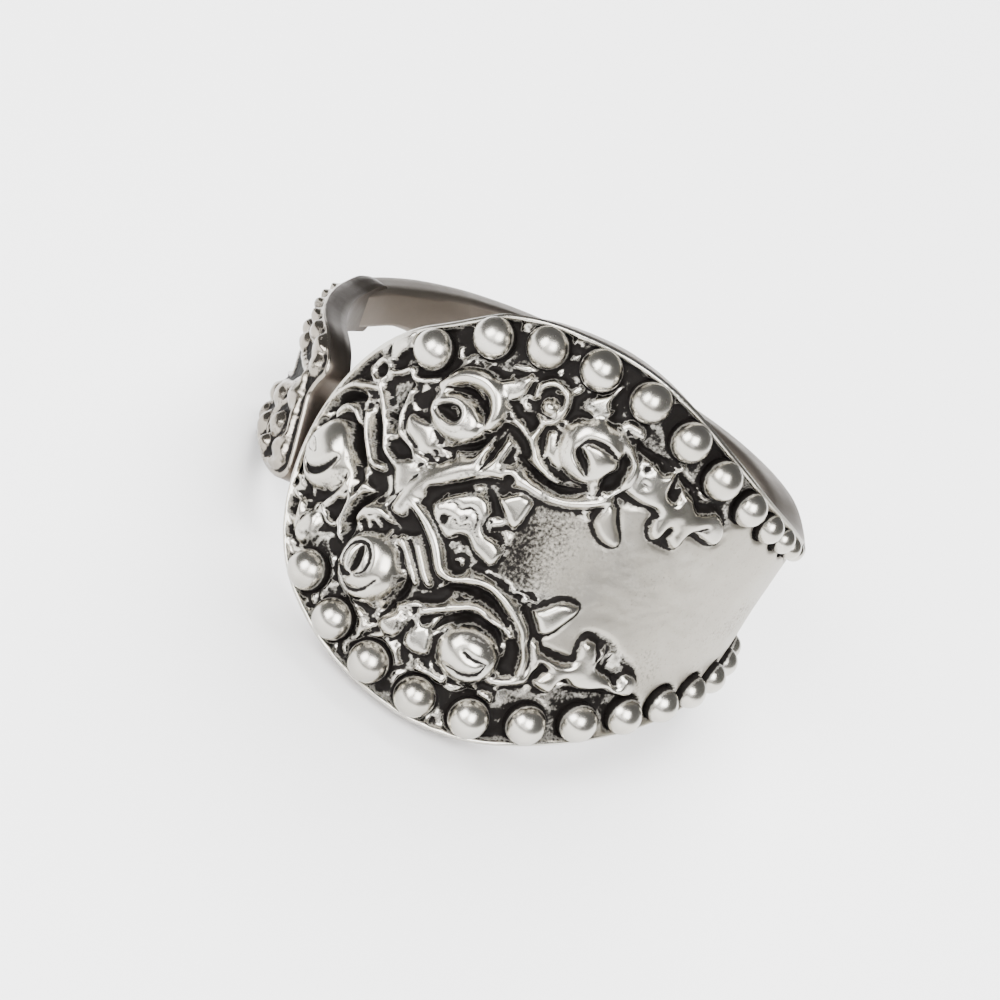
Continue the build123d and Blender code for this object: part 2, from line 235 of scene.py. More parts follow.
def ramp(value: np.ndarray, low: float, high: float) -> np.ndarray:
    """Smooth step from 0 at low to 1 at high."""
    t = np.clip((value - low) / (high - low), 0, 1)
    return t * t * (3 - 2 * t)


def thinned(share: np.ndarray, thin: float) -> np.ndarray:
    """Width along a line as a share: full in its middle, thin at its ends."""
    return thin + (1 - thin) * np.sin(np.pi * np.clip(share, 0.02, 0.98))


def edge_rounding(inside: np.ndarray, width: float = EDGE_ROUND) -> np.ndarray:
    """How far the metal falls off along an edge."""
    return EDGE_DROP * np.clip(1 - inside / width, 0, 1) ** 2


def tail_line(steps: int) -> np.ndarray:
    """Outline of the tail, in mm, with this many points between two places."""
    return flowing([(turn, share * TAIL_LENGTH) for turn, share in TAIL_OUTLINE], steps, closed=True)


@dataclass
class Face:
    """Relief of one face, as a fine chart of heights and of how black each place is."""

    turns: tuple[float, float]
    heights: tuple[float, float]
    cell: float = 0.045
    along: np.ndarray = field(init=False)
    across: np.ndarray = field(init=False)
    relief: np.ndarray = field(init=False)
    black: np.ndarray = field(init=False)
    satin_and_shade: np.ndarray = field(init=False)

    def __post_init__(self) -> None:
        """Lays out the chart."""
        self.start = self.turns[0] * DEGREE
        columns = int((self.turns[1] - self.turns[0]) * DEGREE / self.cell) + 1
        rows = int((self.heights[1] - self.heights[0]) / self.cell) + 1
        along = self.start + np.arange(columns) * self.cell
        across = self.heights[0] + np.arange(rows) * self.cell
        self.along, self.across = np.meshgrid(along, across, indexing="ij")
        self.relief = np.zeros_like(self.along)
        self.black = np.zeros_like(self.along)
        self.satin_and_shade = np.zeros_like(self.along)

    @property
    def turn(self) -> np.ndarray:
        """Turn of every cell, in degrees."""
        return self.along / DEGREE

    def add_metal(self, part: Part, where: np.ndarray, height: np.ndarray, black: np.ndarray) -> None:
        """Raises the marked cells of a part to a height at least, and clears their black."""
        self.relief[part] = np.where(where, np.maximum(self.relief[part], height), self.relief[part])
        self.black[part] = np.where(where, np.minimum(self.black[part], black), self.black[part])

    def window(self, line: np.ndarray, reach: float) -> Part:
        """Part of the chart within reach of a line.

        Args:
            line: points of the line, in mm.
            reach: how far past it the part goes, in mm.

        Returns:
            The part.
        """
        low, high = line.min(0) - reach, line.max(0) + reach
        first = [int(max(0, (low[0] - self.start) / self.cell)), int(max(0, (low[1] - self.heights[0]) / self.cell))]
        last = [int((high[0] - self.start) / self.cell) + 2, int((high[1] - self.heights[0]) / self.cell) + 2]
        return slice(first[0], max(first[0], last[0])), slice(first[1], max(first[1], last[1]))

    def measure(self, line: np.ndarray, part: Part) -> tuple[np.ndarray, np.ndarray]:
        """Distance to a line and share along it, for a part of the chart.

        Args:
            line: points of the line, in mm.
            part: the part of the chart.

        Returns:
            Distances in mm, and shares from 0 to 1.
        """
        x, y = self.along[part], self.across[part]
        nearest, share = np.full(x.shape, 1e9), np.zeros(x.shape)
        for i in range(len(line) - 1):
            (ax, ay), (bx, by) = line[i], line[i + 1]
            length = max((bx - ax) ** 2 + (by - ay) ** 2, 1e-12)
            t = np.clip(((x - ax) * (bx - ax) + (y - ay) * (by - ay)) / length, 0, 1)
            away = np.hypot(x - ax - t * (bx - ax), y - ay - t * (by - ay))
            closer = away < nearest
            nearest = np.where(closer, away, nearest)
            share = np.where(closer, (i + t) / (len(line) - 1), share)
        return nearest, share

    def inside(self, line: np.ndarray, part: Part) -> np.ndarray:
        """Distance inside a closed line.

        Args:
            line: points of the line, in mm.
            part: the part of the chart.

        Returns:
            Distances in mm, below 0 outside the line.
        """
        x, y = self.along[part], self.across[part]
        ring = np.vstack([line, line[:1]])
        away, _ = self.measure(ring, part)
        odd = np.zeros(x.shape, bool)
        for (ax, ay), (bx, by) in zip(ring[:-1], ring[1:]):
            if ay != by:
                odd ^= ((ay > y) != (by > y)) & (x < (bx - ax) * (y - ay) / (by - ay) + ax)
        return np.where(odd, away, -away)

    def soften(self, values: np.ndarray, reach: float) -> np.ndarray:
        """Mean of the values round each place.

        Args:
            values: a chart of values.
            reach: how far round each place, in mm.

        Returns:
            The softened chart.
        """
        size = max(1, round(reach / self.cell))
        result = values
        for _ in range(2):
            for axis in (0, 1):
                padded = np.pad(result, [(size, size) if k == axis else (0, 0) for k in (0, 1)], mode="edge")
                total = np.cumsum(padded, axis=axis)
                total = np.concatenate([np.zeros_like(np.take(total, [0], axis)), total], axis=axis)
                count = 2 * size + 1
                high = np.take(total, range(count, total.shape[axis]), axis)
                low = np.take(total, range(0, total.shape[axis] - count), axis)
                result = (high - low) / count
        return result

    def grains(self, size: float, seed: int) -> np.ndarray:
        """Even, soft noise.

        Args:
            size: length of a grain, in mm.
            seed: start of the random draws.

        Returns:
            A chart with a mean of about 0 and a spread of 1.
        """
        rows = max(4, int(self.relief.shape[0] * self.cell / size))
        columns = max(4, int(self.relief.shape[1] * self.cell / size))
        rough = np.random.default_rng(seed).standard_normal((rows, columns))
        first = np.linspace(0, rows - 1, self.relief.shape[0])
        second = np.linspace(0, columns - 1, self.relief.shape[1])
        tall = np.stack([np.interp(first, np.arange(rows), rough[:, k]) for k in range(columns)], axis=1)
        wide = np.stack([np.interp(second, np.arange(columns), line) for line in tall])
        wide = self.soften(wide, size / 4)
        return wide / wide.std()

    def rough(self, coarse: float, fine: float, seed: int) -> np.ndarray:
        """Coarse grains mixed with fine ones."""
        return self.grains(coarse, seed) * 0.6 + self.grains(fine, seed + 1) * 0.4

    def read(self, values: np.ndarray, turn: np.ndarray, height: np.ndarray) -> np.ndarray:
        """Values of a chart at places between its cells.

        Args:
            values: the chart.
            turn: degrees round the finger.
            height: height along the finger's axis, in mm.

        Returns:
            One value for each place.
        """
        x = np.clip((turn * DEGREE - self.start) / self.cell, 0, values.shape[0] - 1.001)
        y = np.clip((height - self.heights[0]) / self.cell, 0, values.shape[1] - 1.001)
        i, j = x.astype(int), y.astype(int)
        s, t = x - i, y - j
        return ((values[i, j] * (1 - s) + values[i + 1, j] * s) * (1 - t)
                + (values[i, j + 1] * (1 - s) + values[i + 1, j + 1] * s) * t)


@dataclass(frozen=True)
class Ridge:
    """Raised line of metal with a rounded top, thinner towards its ends."""

    width: float
    top: float
    route: Route
    thin: float = 0.55

    def carve(self, face: Face) -> None:
        """Raises the line.

        Args:
            face: the face to work on.
        """
        line = flowing(self.route)
        part = face.window(line, self.width)
        away, share = face.measure(line, part)
        half = FULL * self.width / 2 * thinned(share, self.thin)
        body = np.clip(1 - (away / half) ** 2, 0, 1) ** 0.7
        face.add_metal(part, away < half, GROUND + (self.top - GROUND) * body, 1 - ramp(body, 0.15, 0.5))


@dataclass(frozen=True)
class Leaf:
    """Raised patch of metal with a rounded edge."""

    top: float
    outline: Route
    edge: float = 0.16
    crown: float = 0.05

    def carve(self, face: Face) -> None:
        """Raises the patch.

        Args:
            face: the face to work on.
        """
        line = flowing(self.outline, 5, closed=True)
        part = face.window(line, 0.3)
        deep = face.inside(line, part)
        body = np.sqrt(np.clip(1 - (1 - np.clip(deep / self.edge, 0, 1)) ** 2, 0, 1))
        raised = GROUND + (self.top - GROUND) * body + self.crown * np.clip(deep / 0.6, 0, 1)
        face.add_metal(part, deep > 0, raised, 1 - ramp(deep, 0.0, 0.07))


@dataclass(frozen=True)
class Dome:
    """Raised oval with a full rounded side."""

    turn: float
    height: float
    wide: float
    tall: float
    top: float
    fullness: float = 2.4

    def carve(self, face: Face) -> None:
        """Raises the oval.

        Args:
            face: the face to work on.
        """
        middle = np.array([[self.turn * DEGREE, self.height]])
        part = face.window(middle, max(self.wide, self.tall) + 0.1)
        x, y = face.along[part] - middle[0, 0], face.across[part] - middle[0, 1]
        share = np.hypot(x / self.wide, y / self.tall)
        body = np.clip(1 - share**self.fullness, 0, 1) ** 0.5
        face.add_metal(part, share < 1, GROUND + (self.top - GROUND) * body, 1 - ramp(body, 0.15, 0.45))


@dataclass(frozen=True)
class Groove:
    """Cut line that holds black, thinner towards its ends."""

    width: float
    depth: float
    route: Route
    dark: float = 1.0

    def carve(self, face: Face) -> None:
        """Cuts the line.

        Args:
            face: the face to work on.
        """
        line = flowing(self.route)
        part = face.window(line, self.width)
        away, share = face.measure(line, part)
        half = self.width / 2 * thinned(share, 0.3)
        cut = 1 - ramp(away, 0.35 * half, 1.25 * half)
        face.relief[part] -= self.depth * cut
        face.black[part] = np.maximum(face.black[part], self.dark * (1 - ramp(away, 0.7 * half, 1.2 * half)))


@dataclass(frozen=True)
class Hollow:
    """Cut patch that holds black."""

    outline: Route
    floor: float = -0.2
    dark: float = 1.0

    def carve(self, face: Face) -> None:
        """Cuts the patch.

        Args:
            face: the face to work on.
        """
        line = flowing(self.outline, 5, closed=True)
        part = face.window(line, 0.3)
        deep = face.inside(line, part)
        cut = ramp(deep, -0.06, 0.09)
        face.relief[part] += cut * (np.minimum(self.floor, face.relief[part]) - face.relief[part])
        face.black[part] = np.maximum(face.black[part], self.dark * ramp(deep, -0.04, 0.04))


def pit(turn: float, height: float, radius: float, floor: float = -0.2, dark: float = 1.0) -> Hollow:
    """Round black hollow.

    Args:
        turn: degrees round the finger.
        height: height along the finger's axis, in mm.
        radius: its radius, in mm.
        floor: height of its floor over the face, in mm.
        dark: how black it is.

    Returns:
        The hollow.
    """
    sides = 8
    return Hollow([(turn + radius / DEGREE * math.cos(math.tau * k / sides),
                    height + radius * math.sin(math.tau * k / sides)) for k in range(sides)], floor, dark)


# Outline of the plain field, as turn and height
PLAIN_FIELD = (
    (4.3, -.5), (8, -.06), (15, -.02), (16, .3), (18.5, .95), (26, 1.3), (26, .8), (28.3, .35), (34, .4), (35.5, 1.1),
    (43, 1.1), (47, 1.75), (60, 1.3), (80, .75), (104, 1.6), (112, 1.4), (112, -1.9), (100, -2.3), (80, -3.0),
    (64, -3.6), (52, -4.2), (46, -4.2), (37, -3.6), (33, -3.4), (28, -3.5), (27.6, -4.1), (28.2, -4.6), (21, -4.62),
    (21, -4.1), (23, -3.2), (23.5, -2.75), (18, -2.9), (11, -3.3), (5, -3.15), (4.6, -2.5), (4.2, -2.1), (3.8, -1.4),
)

# What is cut and raised on the shield, in the order of the work
CARVING = (
    # main branch and its stems
    Ridge(.78, .34, [(-18.2, -3.2), (-17.2, -2.3), (-14.2, -1.4), (-10, -.62), (-5.5, -.2), (0, .0)], .7),
    Ridge(.46, .32, [(-5.5, -.15), (0, -.02), (5, .0), (9.5, .22), (13, .55), (16, .95)], .85),
    Leaf(.3, [(-10.7, 1.35), (-9.7, 1.0), (-8.7, .3), (-8.4, -.4), (-9.4, -.6), (-11, -.5), (-10.6, .2)], .14),
    Leaf(.3, [(-6.0, 1.05), (-5.2, .5), (-5.6, -.1), (-7.2, -.45), (-7.9, -.3), (-7.5, .3), (-7.2, .95)], .14),
    Groove(.18, .3, [(-8.1, 1.25), (-7.9, .6), (-8.0, 0), (-8.4, -.45)]),
    Ridge(.17, .38, [(-11.2, 2.0), (-8.2, 1.66), (-5, 1.5), (-2.2, 1.2), (.5, .8)]),
    # rolled petals left of the second rose
    Ridge(.36, .4, [(-3, 2.15), (-2.9, 1.45), (-1, .98), (2, .72), (5.8, .6)]),
    Leaf(.18, [(-1.3, 1.9), (-.2, 1.4), (2, 1.05), (5, .9), (4, 1.3), (1.5, 1.7), (.4, 2.1)], .1),
    Ridge(.34, .4, [(11, 3.15), (14, 2.85), (16.7, 2.4), (17.1, 1.9), (16.3, 1.4), (14.6, 1.05)]),
    Leaf(.3, [(17.4, 2.75), (19.6, 2.95), (20.5, 2.35), (19.7, 1.7), (18.0, 1.45), (17.8, 2.2)]),
    Leaf(.24, [(10.6, 1.15), (12.6, 1.5), (13.3, .85), (12, .8)], .1),
    # upper left rose with its cap petal
    Ridge(.66, .52, [(-23.4, 1.2), (-21.2, 1.85), (-17, 2.16), (-13.4, 2.02), (-11.3, 1.45), (-11.6, .95)], .7),
    Dome(-18.0, .56, 1.15, .86, .7),
    Groove(.22, .4, [(-22.6, 1.26), (-19, 1.5), (-16, 1.47), (-13.3, 1.22), (-12.1, .95)]),
    Groove(.08, .1, [(-23, .7), (-22, .3), (-19, .08), (-16, .2), (-14.8, .62), (-16.2, 1.02), (-19.5, 1.15)], .35),
    Hollow([(-22.2, .5), (-19.6, .93), (-17.4, .9), (-16.7, .6), (-18.2, .38)], .05),
    Ridge(.1, .42, [(-20, .72), (-18.8, .82), (-17.8, .62)]),
    Groove(.3, .5, [(-9.9, .85), (-11, .28), (-13.2, -.12), (-15.6, -.42)]),
    # second rose
    Dome(7.7, 2.14, 1.17, 1.24, .74),
    Groove(.18, .34, [(5.3, 2.15), (6.2, 2.45), (9, 2.55), (11.2, 2.46), (13.2, 2.34)]),
    Hollow([(5.1, 2.12), (5.4, 1.8), (7.5, 1.55), (9.5, 1.33), (8.2, 1.78), (6.6, 2.0)], .15),
    Dome(8.9, 2.1, .5, .3, .62, 2),
    Groove(.07, .08, [(3.2, 3.0), (2.8, 2.2), (4, 1.5), (7, 1.15)], .3),
    # third rose at the round end
    Ridge(.32, .36, [(-45.8, -1.6), (-43.4, -.95), (-40.2, -.55), (-37, -.32)], .8),
    Ridge(.34, .34, [(-42.6, -2.0), (-41.2, -1.55), (-38.6, -1.4), (-36, -1.7)]),
    Dome(-38.4, -3.24, 1.2, 1.36, .72),
    Groove(.36, .5, [(-45.3, -2.5), (-44, -1.5), (-41.5, -1.06), (-39, -.92)]),
    Groove(.38, .5, [(-38.6, -1.78), (-35.4, -2.02), (-32.8, -2.45), (-30.8, -2.85)]),
    Groove(.26, .4, [(-43, -3.72), (-40.6, -4.05), (-38, -3.95), (-36, -3.6), (-34.7, -3.05)]),
    Groove(.08, .12, [(-43.2, -3.16), (-41.8, -3.02), (-39.4, -3.3), (-41, -3.45), (-43, -3.3)], .6),
    Ridge(.2, .66, [(-42.6, -3.2), (-41.2, -3.2), (-40, -3.34)]),
    Groove(.06, .06, [(-36.5, -2.6), (-34, -3.0), (-33.4, -3.6), (-35.5, -4.2)], .3),
    # fourth rose, a spiral
    Ridge(.42, .36, [(-24.8, -4.35), (-23.7, -3.85), (-21, -3.62), (-18.6, -3.66)]),
    Ridge(.2, .3, [(-22.6, -4.1), (-21, -3.95), (-19.6, -4.1)]),
    Dome(-17.1, -5.48, 1.2, 1.3, .74),
    Groove(.13, .24, [(-20.4, -6.0), (-22.2, -5.5), (-21.4, -4.98), (-19, -4.76), (-16.9, -5.02), (-16.3, -5.5),
                      (-17.6, -5.8)]),
    Hollow([(-20.0, -5.0), (-19.1, -4.92), (-18.2, -5.3), (-18.2, -5.72), (-19.3, -5.82)], .2),
    Groove(.14, .22, [(-20.2, -6.2), (-17.6, -6.42), (-15.2, -6.16), (-13.5, -5.55)], .8),
    Groove(.22, .34, [(-22.2, -5.98), (-20.4, -6.06), (-18.6, -5.98)]),
    Groove(.34, .5, [(-23.8, -3.2), (-25.6, -3.7), (-26, -4.4), (-25, -5.1)]),
    Ridge(.2, .34, [(-27.2, -3.1), (-27.6, -4), (-27.4, -4.8), (-25.6, -5.4)], .8),
    Groove(.3, .5, [(-10.4, -4.5), (-8.8, -5.1), (-8.5, -5.8), (-9.6, -6.4)]),
    # ribbed stems between the fourth rose and the curly leaf
    Ridge(.46, .34, [(-16.6, -2.7), (-12.4, -2.95), (-8, -3.45), (-4.6, -4.1), (-2.4, -4.15)], .8),
    Ridge(.36, .32, [(-13.6, -3.5), (-10.5, -3.9), (-7, -4.5), (-5, -4.75)], .8),
    Ridge(.3, .3, [(-14.2, -4.0), (-11.5, -4.35), (-8.8, -4.75), (-7.4, -5.0)], .8),
    Groove(.1, .18, [(-13.4, -3.25), (-10, -3.62), (-6.4, -4.2), (-4.2, -4.5)], .8),
    Groove(.12, .2, [(-13.8, -3.78), (-11, -4.12), (-8, -4.62), (-6.4, -4.9)], .8),
    Groove(.14, .3, [(-14.6, -4.25), (-12.8, -4.4), (-10.9, -4.85)]),
    Ridge(.18, .32, [(-8.2, -6.0), (-5.4, -5.62), (-2.6, -5.3), (-.4, -5.2)], .8),
    # fifth rose and the petals that wrap it
    Ridge(.42, .4, [(-1.9, -4.15), (1, -3.86), (5, -3.62), (9, -3.78), (13, -4.12), (16, -4.5), (17.2, -5.0)], .75),
    Ridge(.32, .34, [(-3.4, -5.7), (-.4, -5.25), (2.8, -4.8), (6, -4.52), (9.4, -4.74), (12.4, -4.62),
                     (14.6, -4.92)], .8),
    Ridge(.1, .2, [(3.4, -3.3), (7, -3.24), (11, -3.36), (15.4, -3.42)], .7),
    Dome(8.9, -6.14, 1.14, 1.06, .74),
    Groove(.12, .22, [(7.0, -5.92), (9.4, -6.06), (12.8, -5.98)]),
    Groove(.15, .22, [(12.6, -6.1), (12, -6.48), (10, -6.7), (5.6, -6.76)], .9),
    Groove(.08, .08, [(5.4, -5.7), (7.4, -5.45), (10.6, -5.42), (13.2, -5.8)], .3),
    Ridge(.3, .4, [(17.3, -4.85), (19.2, -5.4), (19.9, -6.05)]),
    Ridge(.4, .32, [(19.3, -4.7), (21.6, -5.3), (21.2, -5.95), (18.4, -6.3), (15.6, -6.55)], .7),
    # leaves
    Leaf(.27, [(-.6, -.5), (1, -.3), (3.6, -.35), (4.1, -.9), (3.6, -1.6), (1.4, -1.5), (-2.6, -.95), (-1.8, -.75)]),
    Leaf(.27, [(-12.8, -2.4), (-10.5, -1.7), (-7.5, -1.25), (-4.6, -1.1), (-1.8, -1.5), (-1.2, -2.1), (1.6, -2.2),
               (4.1, -2.5), (3.6, -3.1), (1, -3.05), (-1.4, -2.95), (-4, -2.65), (-6.5, -3.1), (-9.4, -2.9)], .14),
    Leaf(.26, [(15.8, .3), (16.3, .85), (18.4, .86), (20, .42), (22.2, .05), (23.1, -.2), (22.5, -.42), (20.4, -.46),
               (17.8, -.3), (16, .02)]),
    Leaf(.28, [(15.3, -3.7), (17, -3.32), (19, -2.9), (21, -2.78), (23.2, -2.8), (23.5, -3.1), (22.4, -3.6),
               (21, -4.1), (19.2, -4.32), (17.4, -4.1)]),
    Leaf(.28, [(18.4, 1.5), (19.2, 2.0), (18.9, 2.3), (20.6, 2.85), (22.6, 2.7), (25, 2.95), (25.7, 2.5), (26.2, 2.1),
               (28.2, 2.02), (28.6, 2.45), (31.5, 2.4), (34, 2.05), (36.6, 2.15), (38.6, 2.3), (41.5, 2.1),
               (43.3, 1.65), (42.5, 1.2), (40, 1.16), (36.6, 1.3), (35.2, 1.1), (34.6, .55), (33, .45), (31.4, .7),
               (30.6, 1.1), (29.8, .6), (28.3, .42), (26.8, .7), (26.2, 1.2), (25.6, 1.42), (22, 1.4)], .15, .06),
    Leaf(.28, [(20.4, -4.8), (24, -4.86), (27.4, -4.78), (28.4, -4.5), (27.8, -4.0), (28.6, -3.7), (30.6, -3.68),
               (32.6, -3.86), (33.8, -3.6), (34.2, -4.1), (33.9, -4.45), (36.4, -4.62), (38.6, -4.66), (41, -4.85),
               (41.4, -4.4), (43.5, -4.3), (46, -4.5), (45.6, -5.05), (42.4, -5.2), (38.4, -5.15), (34.6, -5.42),
               (31.8, -5.5), (29, -5.35), (28.6, -5.9), (26.4, -6.1), (23.4, -5.95), (22.8, -5.6), (24.8, -5.3),
               (21.6, -5.1)], .15, .06),
    Leaf(.26, [(-14.2, 2.5), (-11.6, 2.9), (-9.4, 3.3), (-8.6, 2.7), (-10, 2.1), (-12.6, 2.15)], .14),
    Leaf(.25, [(-39.9, 1.2), (-38.8, 1.9), (-36.4, 2.2), (-34.9, 2.4), (-34.9, 1.6), (-36.4, 1.2), (-37.6, .78)]),
    Leaf(.24, [(-35.3, -5.3), (-33.4, -5.1), (-31.3, -5.4), (-31.6, -6.1), (-34, -6.4), (-36.3, -6.1)]),
    Leaf(.24, [(-39.2, -5.05), (-37, -5.1), (-36.2, -5.7), (-37.6, -5.85)]),
    Leaf(.24, [(-9.2, -6.5), (-6.8, -6.1), (-4.4, -6.3), (-5, -7.0), (-7.6, -7.1), (-9.6, -6.9)]),
    Leaf(.24, [(-3.6, -6.4), (-.6, -5.9), (1.6, -6.3), (2.4, -6.9), (-.4, -7.1), (-3.2, -7.0)]),
    Leaf(.22, [(.8, -7.15), (4, -7.3), (7.6, -7.15), (8.4, -7.5), (4.6, -7.7), (1.6, -7.65)]),
    Leaf(.22, [(14.6, -7.1), (17.4, -6.9), (18.8, -7.3), (17.6, -7.7), (16.2, -7.5)]),
    Leaf(.24, [(5.8, 4.45), (6.8, 4.6), (6.2, 3.9), (7.6, 3.5), (5.2, 3.15), (2.2, 3.1), (1.6, 3.5), (3.6, 3.9)], .12),
    Leaf(.22, [(10.4, 3.5), (14, 3.75), (15.8, 3.5), (15.4, 3.15), (12.4, 3.3)]),
    Leaf(.22, [(22, 3.15), (24.6, 3.25), (26.8, 3.9), (26.2, 3.0), (24.4, 2.95)], .1),
    Leaf(.22, [(31.6, 2.72), (34.2, 3.0), (36.4, 2.72), (34.4, 2.45)], .1),
    Leaf(.22, [(-24.6, -.2), (-21, -.15), (-18.8, -.6), (-19.4, -1.1), (-23, -1.05), (-26.4, -.8), (-27.2, -.3)]),
    Leaf(.2, [(-22.6, -1.6), (-19.6, -1.5), (-18.8, -2.2), (-20.4, -2.9), (-23, -2.4), (-24, -1.95)]),
    # loop, stems and petals of the round end
    Ridge(.2, .32, [(-40.6, .2), (-39.6, .58), (-37.2, .6), (-36.2, .3), (-37, -.05), (-39.6, -.1), (-40.6, .2)], .95),
    Ridge(.2, .34, [(-36.2, .4), (-34, .62), (-31.8, 1.0), (-30.6, .75), (-28.6, .95), (-26.5, 1.15)], .8),
    Ridge(.24, .36, [(-29.4, .4), (-29.2, -.3), (-27.8, -.8), (-25.4, -1.1), (-21.6, -1.35), (-19, -1.3)], .8),
    Ridge(.24, .34, [(-37, .1), (-35.6, -.3), (-33.2, -.6), (-31, -1.05), (-29, -1.5), (-27.2, -1.85),
                     (-24, -2.0)], .8),
    Ridge(.34, .34, [(-36.6, -.9), (-33.8, -1.62), (-31, -2.1), (-28.4, -2.45), (-26, -2.4)], .8),
    Ridge(.2, .3, [(-31.6, -3.6), (-29.4, -3.7), (-28.2, -4.2), (-28.4, -5.0), (-30.8, -5.1)], .8),
    Ridge(.24, .3, [(-33, -2.9), (-31, -3.3), (-30.8, -3.9), (-32.4, -4.5), (-33.4, -4.9)], .8),
    # small blossom
    Ridge(.24, .42, [(-6.6, 2.7), (-6.9, 3.1), (-4.6, 3.45), (-1.6, 3.3), (-.6, 2.7), (-1.8, 2.2), (-4.2, 2.15)], .85),
    Dome(-3.3, 2.65, .36, .36, .5, 2.2),
    pit(-6.0, 2.4, .13),
    # black pockets
    Hollow([(-31.2, 1.15), (-29.8, .86), (-26.6, 1.2), (-24.6, 1.55), (-23.4, 2.2), (-26, 2.1), (-28.6, 1.6)]),
    Hollow([(-28.1, .1), (-26.4, .02), (-24.9, .25), (-24.7, .75), (-26.2, .8), (-27.9, .5)]),
    Hollow([(-27.6, -1.5), (-26, -1.22), (-23.6, -1.25), (-22, -1.42), (-23.8, -1.78), (-26, -1.78)]),
    Hollow([(-28, -2.95), (-26.4, -2.62), (-24.2, -2.7), (-22.8, -3.0), (-24.8, -3.22), (-26.8, -3.2)]),
    Hollow([(-31.4, -4.35), (-29.8, -4.2), (-28.6, -4.5), (-28.8, -4.98), (-30.2, -4.9)]),
    Hollow([(-19.4, -3.42), (-17, -3.42), (-15, -3.18), (-13, -3.26), (-11.9, -3.6), (-14.6, -3.82), (-16.6, -3.7)]),
    Hollow([(-28.2, -5.6), (-25.8, -5.35), (-23.6, -5.75), (-25, -5.95), (-27.2, -5.9)]),
    Hollow([(-39, -4.78), (-36, -4.82), (-34, -4.62), (-35.4, -4.9), (-37.6, -4.98)], -.2),
    Groove(.36, .45, [(-33.8, -1.18), (-31.4, -1.42), (-29.6, -1.85)]),
    Groove(.34, .4, [(-30.8, .6), (-30.4, 0), (-29.8, -.6), (-27.6, -1.12)], .85),
    Hollow([(-3.9, -3.55), (-2.8, -3.22), (-.8, -3.3), (-.2, -3.7), (-1.6, -3.98), (-3.4, -3.86)]),
    Ridge(.13, .1, [(-3, -3.55), (-2, -3.45), (-1.4, -3.65)]),
    Hollow([(-6.9, -5.35), (-4.2, -5.1), (-2.4, -4.6), (-.4, -4.3), (-.2, -4.9), (-2.2, -5.25), (-4.6, -5.45)]),
    Groove(.4, .45, [(-1.4, -4.5), (1.6, -4.28), (5, -4.12), (8.6, -4.22), (12.6, -4.55)]),
    Groove(.36, .4, [(.6, -6.0), (1.8, -5.5), (4.6, -5.08), (8.4, -4.9), (12, -5.02), (13.8, -5.4)]),
    Groove(.12, .25, [(1.6, -3.42), (5.6, -3.42), (10, -3.54), (14.6, -3.75), (17.4, -4.15)], .8),
    Hollow([(14.2, -4.95), (16.4, -4.95), (17.8, -5.3), (17.6, -5.9), (15.8, -6.1), (15.4, -5.5)]),
    Hollow([(22.2, -5.45), (24, -5.4), (23.6, -5.75), (22.2, -5.95)], -.15),
    Hollow([(-7.6, 1.95), (-6.4, 1.75), (-3.8, 1.62), (-3.5, 2.0), (-5.4, 2.12)]),
    Hollow([(-9.3, 1.3), (-7, 1.42), (-4, 1.3), (-1.4, .92), (-2.4, .6), (-4.2, .9), (-7, 1.1)]),
    Groove(.3, .4, [(-3.6, .62), (0, .48), (4.4, .38), (8, .44), (11.2, .8)]),
    Hollow([(12.7, 1.5), (13.6, 1.85), (15.6, 1.88), (16.4, 1.55), (14.7, 1.18)]),
    pit(14.7, 2.36, .2),
    pit(19.1, 2.56, .12, .05),
    pit(-38.4, .25, .24),
    pit(-35.8, .92, .2),
    pit(-36.2, -1.0, .12),
    pit(-29.2, -3.2, .13),
    Groove(.2, .3, [(-17.4, -.62), (-15.6, -.5), (-14.2, -.72)]),
    Hollow([(-15.4, -2.0), (-13, -1.62), (-10.8, -1.3), (-12.4, -2.1), (-14, -2.4)], -.12),
    Groove(.2, .3, [(-12.4, -1.65), (-8.6, -1.0), (-5.4, -.55), (-2.4, -.35)]),
    pit(-2.6, -.22, .2, -.1, .85),
    pit(-2.2, -.5, .16, -.1, .85),
    # curly leaf
    Groove(.1, .16, [(-11.4, -2.2), (-9, -1.85), (-7.4, -1.95), (-5.6, -1.7), (-3.8, -1.85), (-2.8, -2.3),
                     (-1, -2.45)], .75),
    Groove(.08, .12, [(-10.2, -2.65), (-8, -2.3), (-6, -2.45), (-4.4, -2.2), (-3, -2.6)], .7),
    Groove(.14, .2, [(-2.2, -1.55), (-1.9, -2.0), (-.4, -2.2), (2, -2.05), (4.4, -2.35)], .8),
    Groove(.14, .2, [(-6.2, -2.9), (-5, -2.75), (-3.6, -2.95), (-2.4, -2.8)], .9),
    pit(-9.3, -2.55, .15, -.05),
    pit(2.0, -3.3, .2, -.1, .9),
    Groove(.06, .08, [(-3.2, -1.05), (-.6, -1.3), (2.4, -1.55)], .5),
    # sprays
    Hollow([(26.0, 2.75), (26.1, 2.25), (27.2, 2.12), (28.5, 2.3), (28.2, 2.5), (27.2, 2.36), (26.6, 2.8)], -.05),
    Groove(.1, .18, [(18.4, 1.2), (22, 1.27), (26.4, 1.34), (26, .95), (26.8, .62), (28.6, .4)], .85),
    Groove(.1, .16, [(30.2, .7), (30.4, 1.05), (31.2, 1.05), (31.4, .7), (33.4, .42)], .85),
    Groove(.12, .14, [(35.2, 1.15), (35.8, 1.35), (37.6, 1.65), (38.2, 1.72)], .7),
    Groove(.07, .1, [(38.2, 1.22), (39.6, 1.24), (41, 1.27)], .7),
    Groove(.1, .12, [(19.8, 2.12), (21.4, 2.0)], .7),
    Groove(.12, .16, [(28.6, 2.7), (31.4, 2.55), (33.6, 2.24), (36.4, 2.3), (38.4, 2.48), (41, 2.22)], .9),
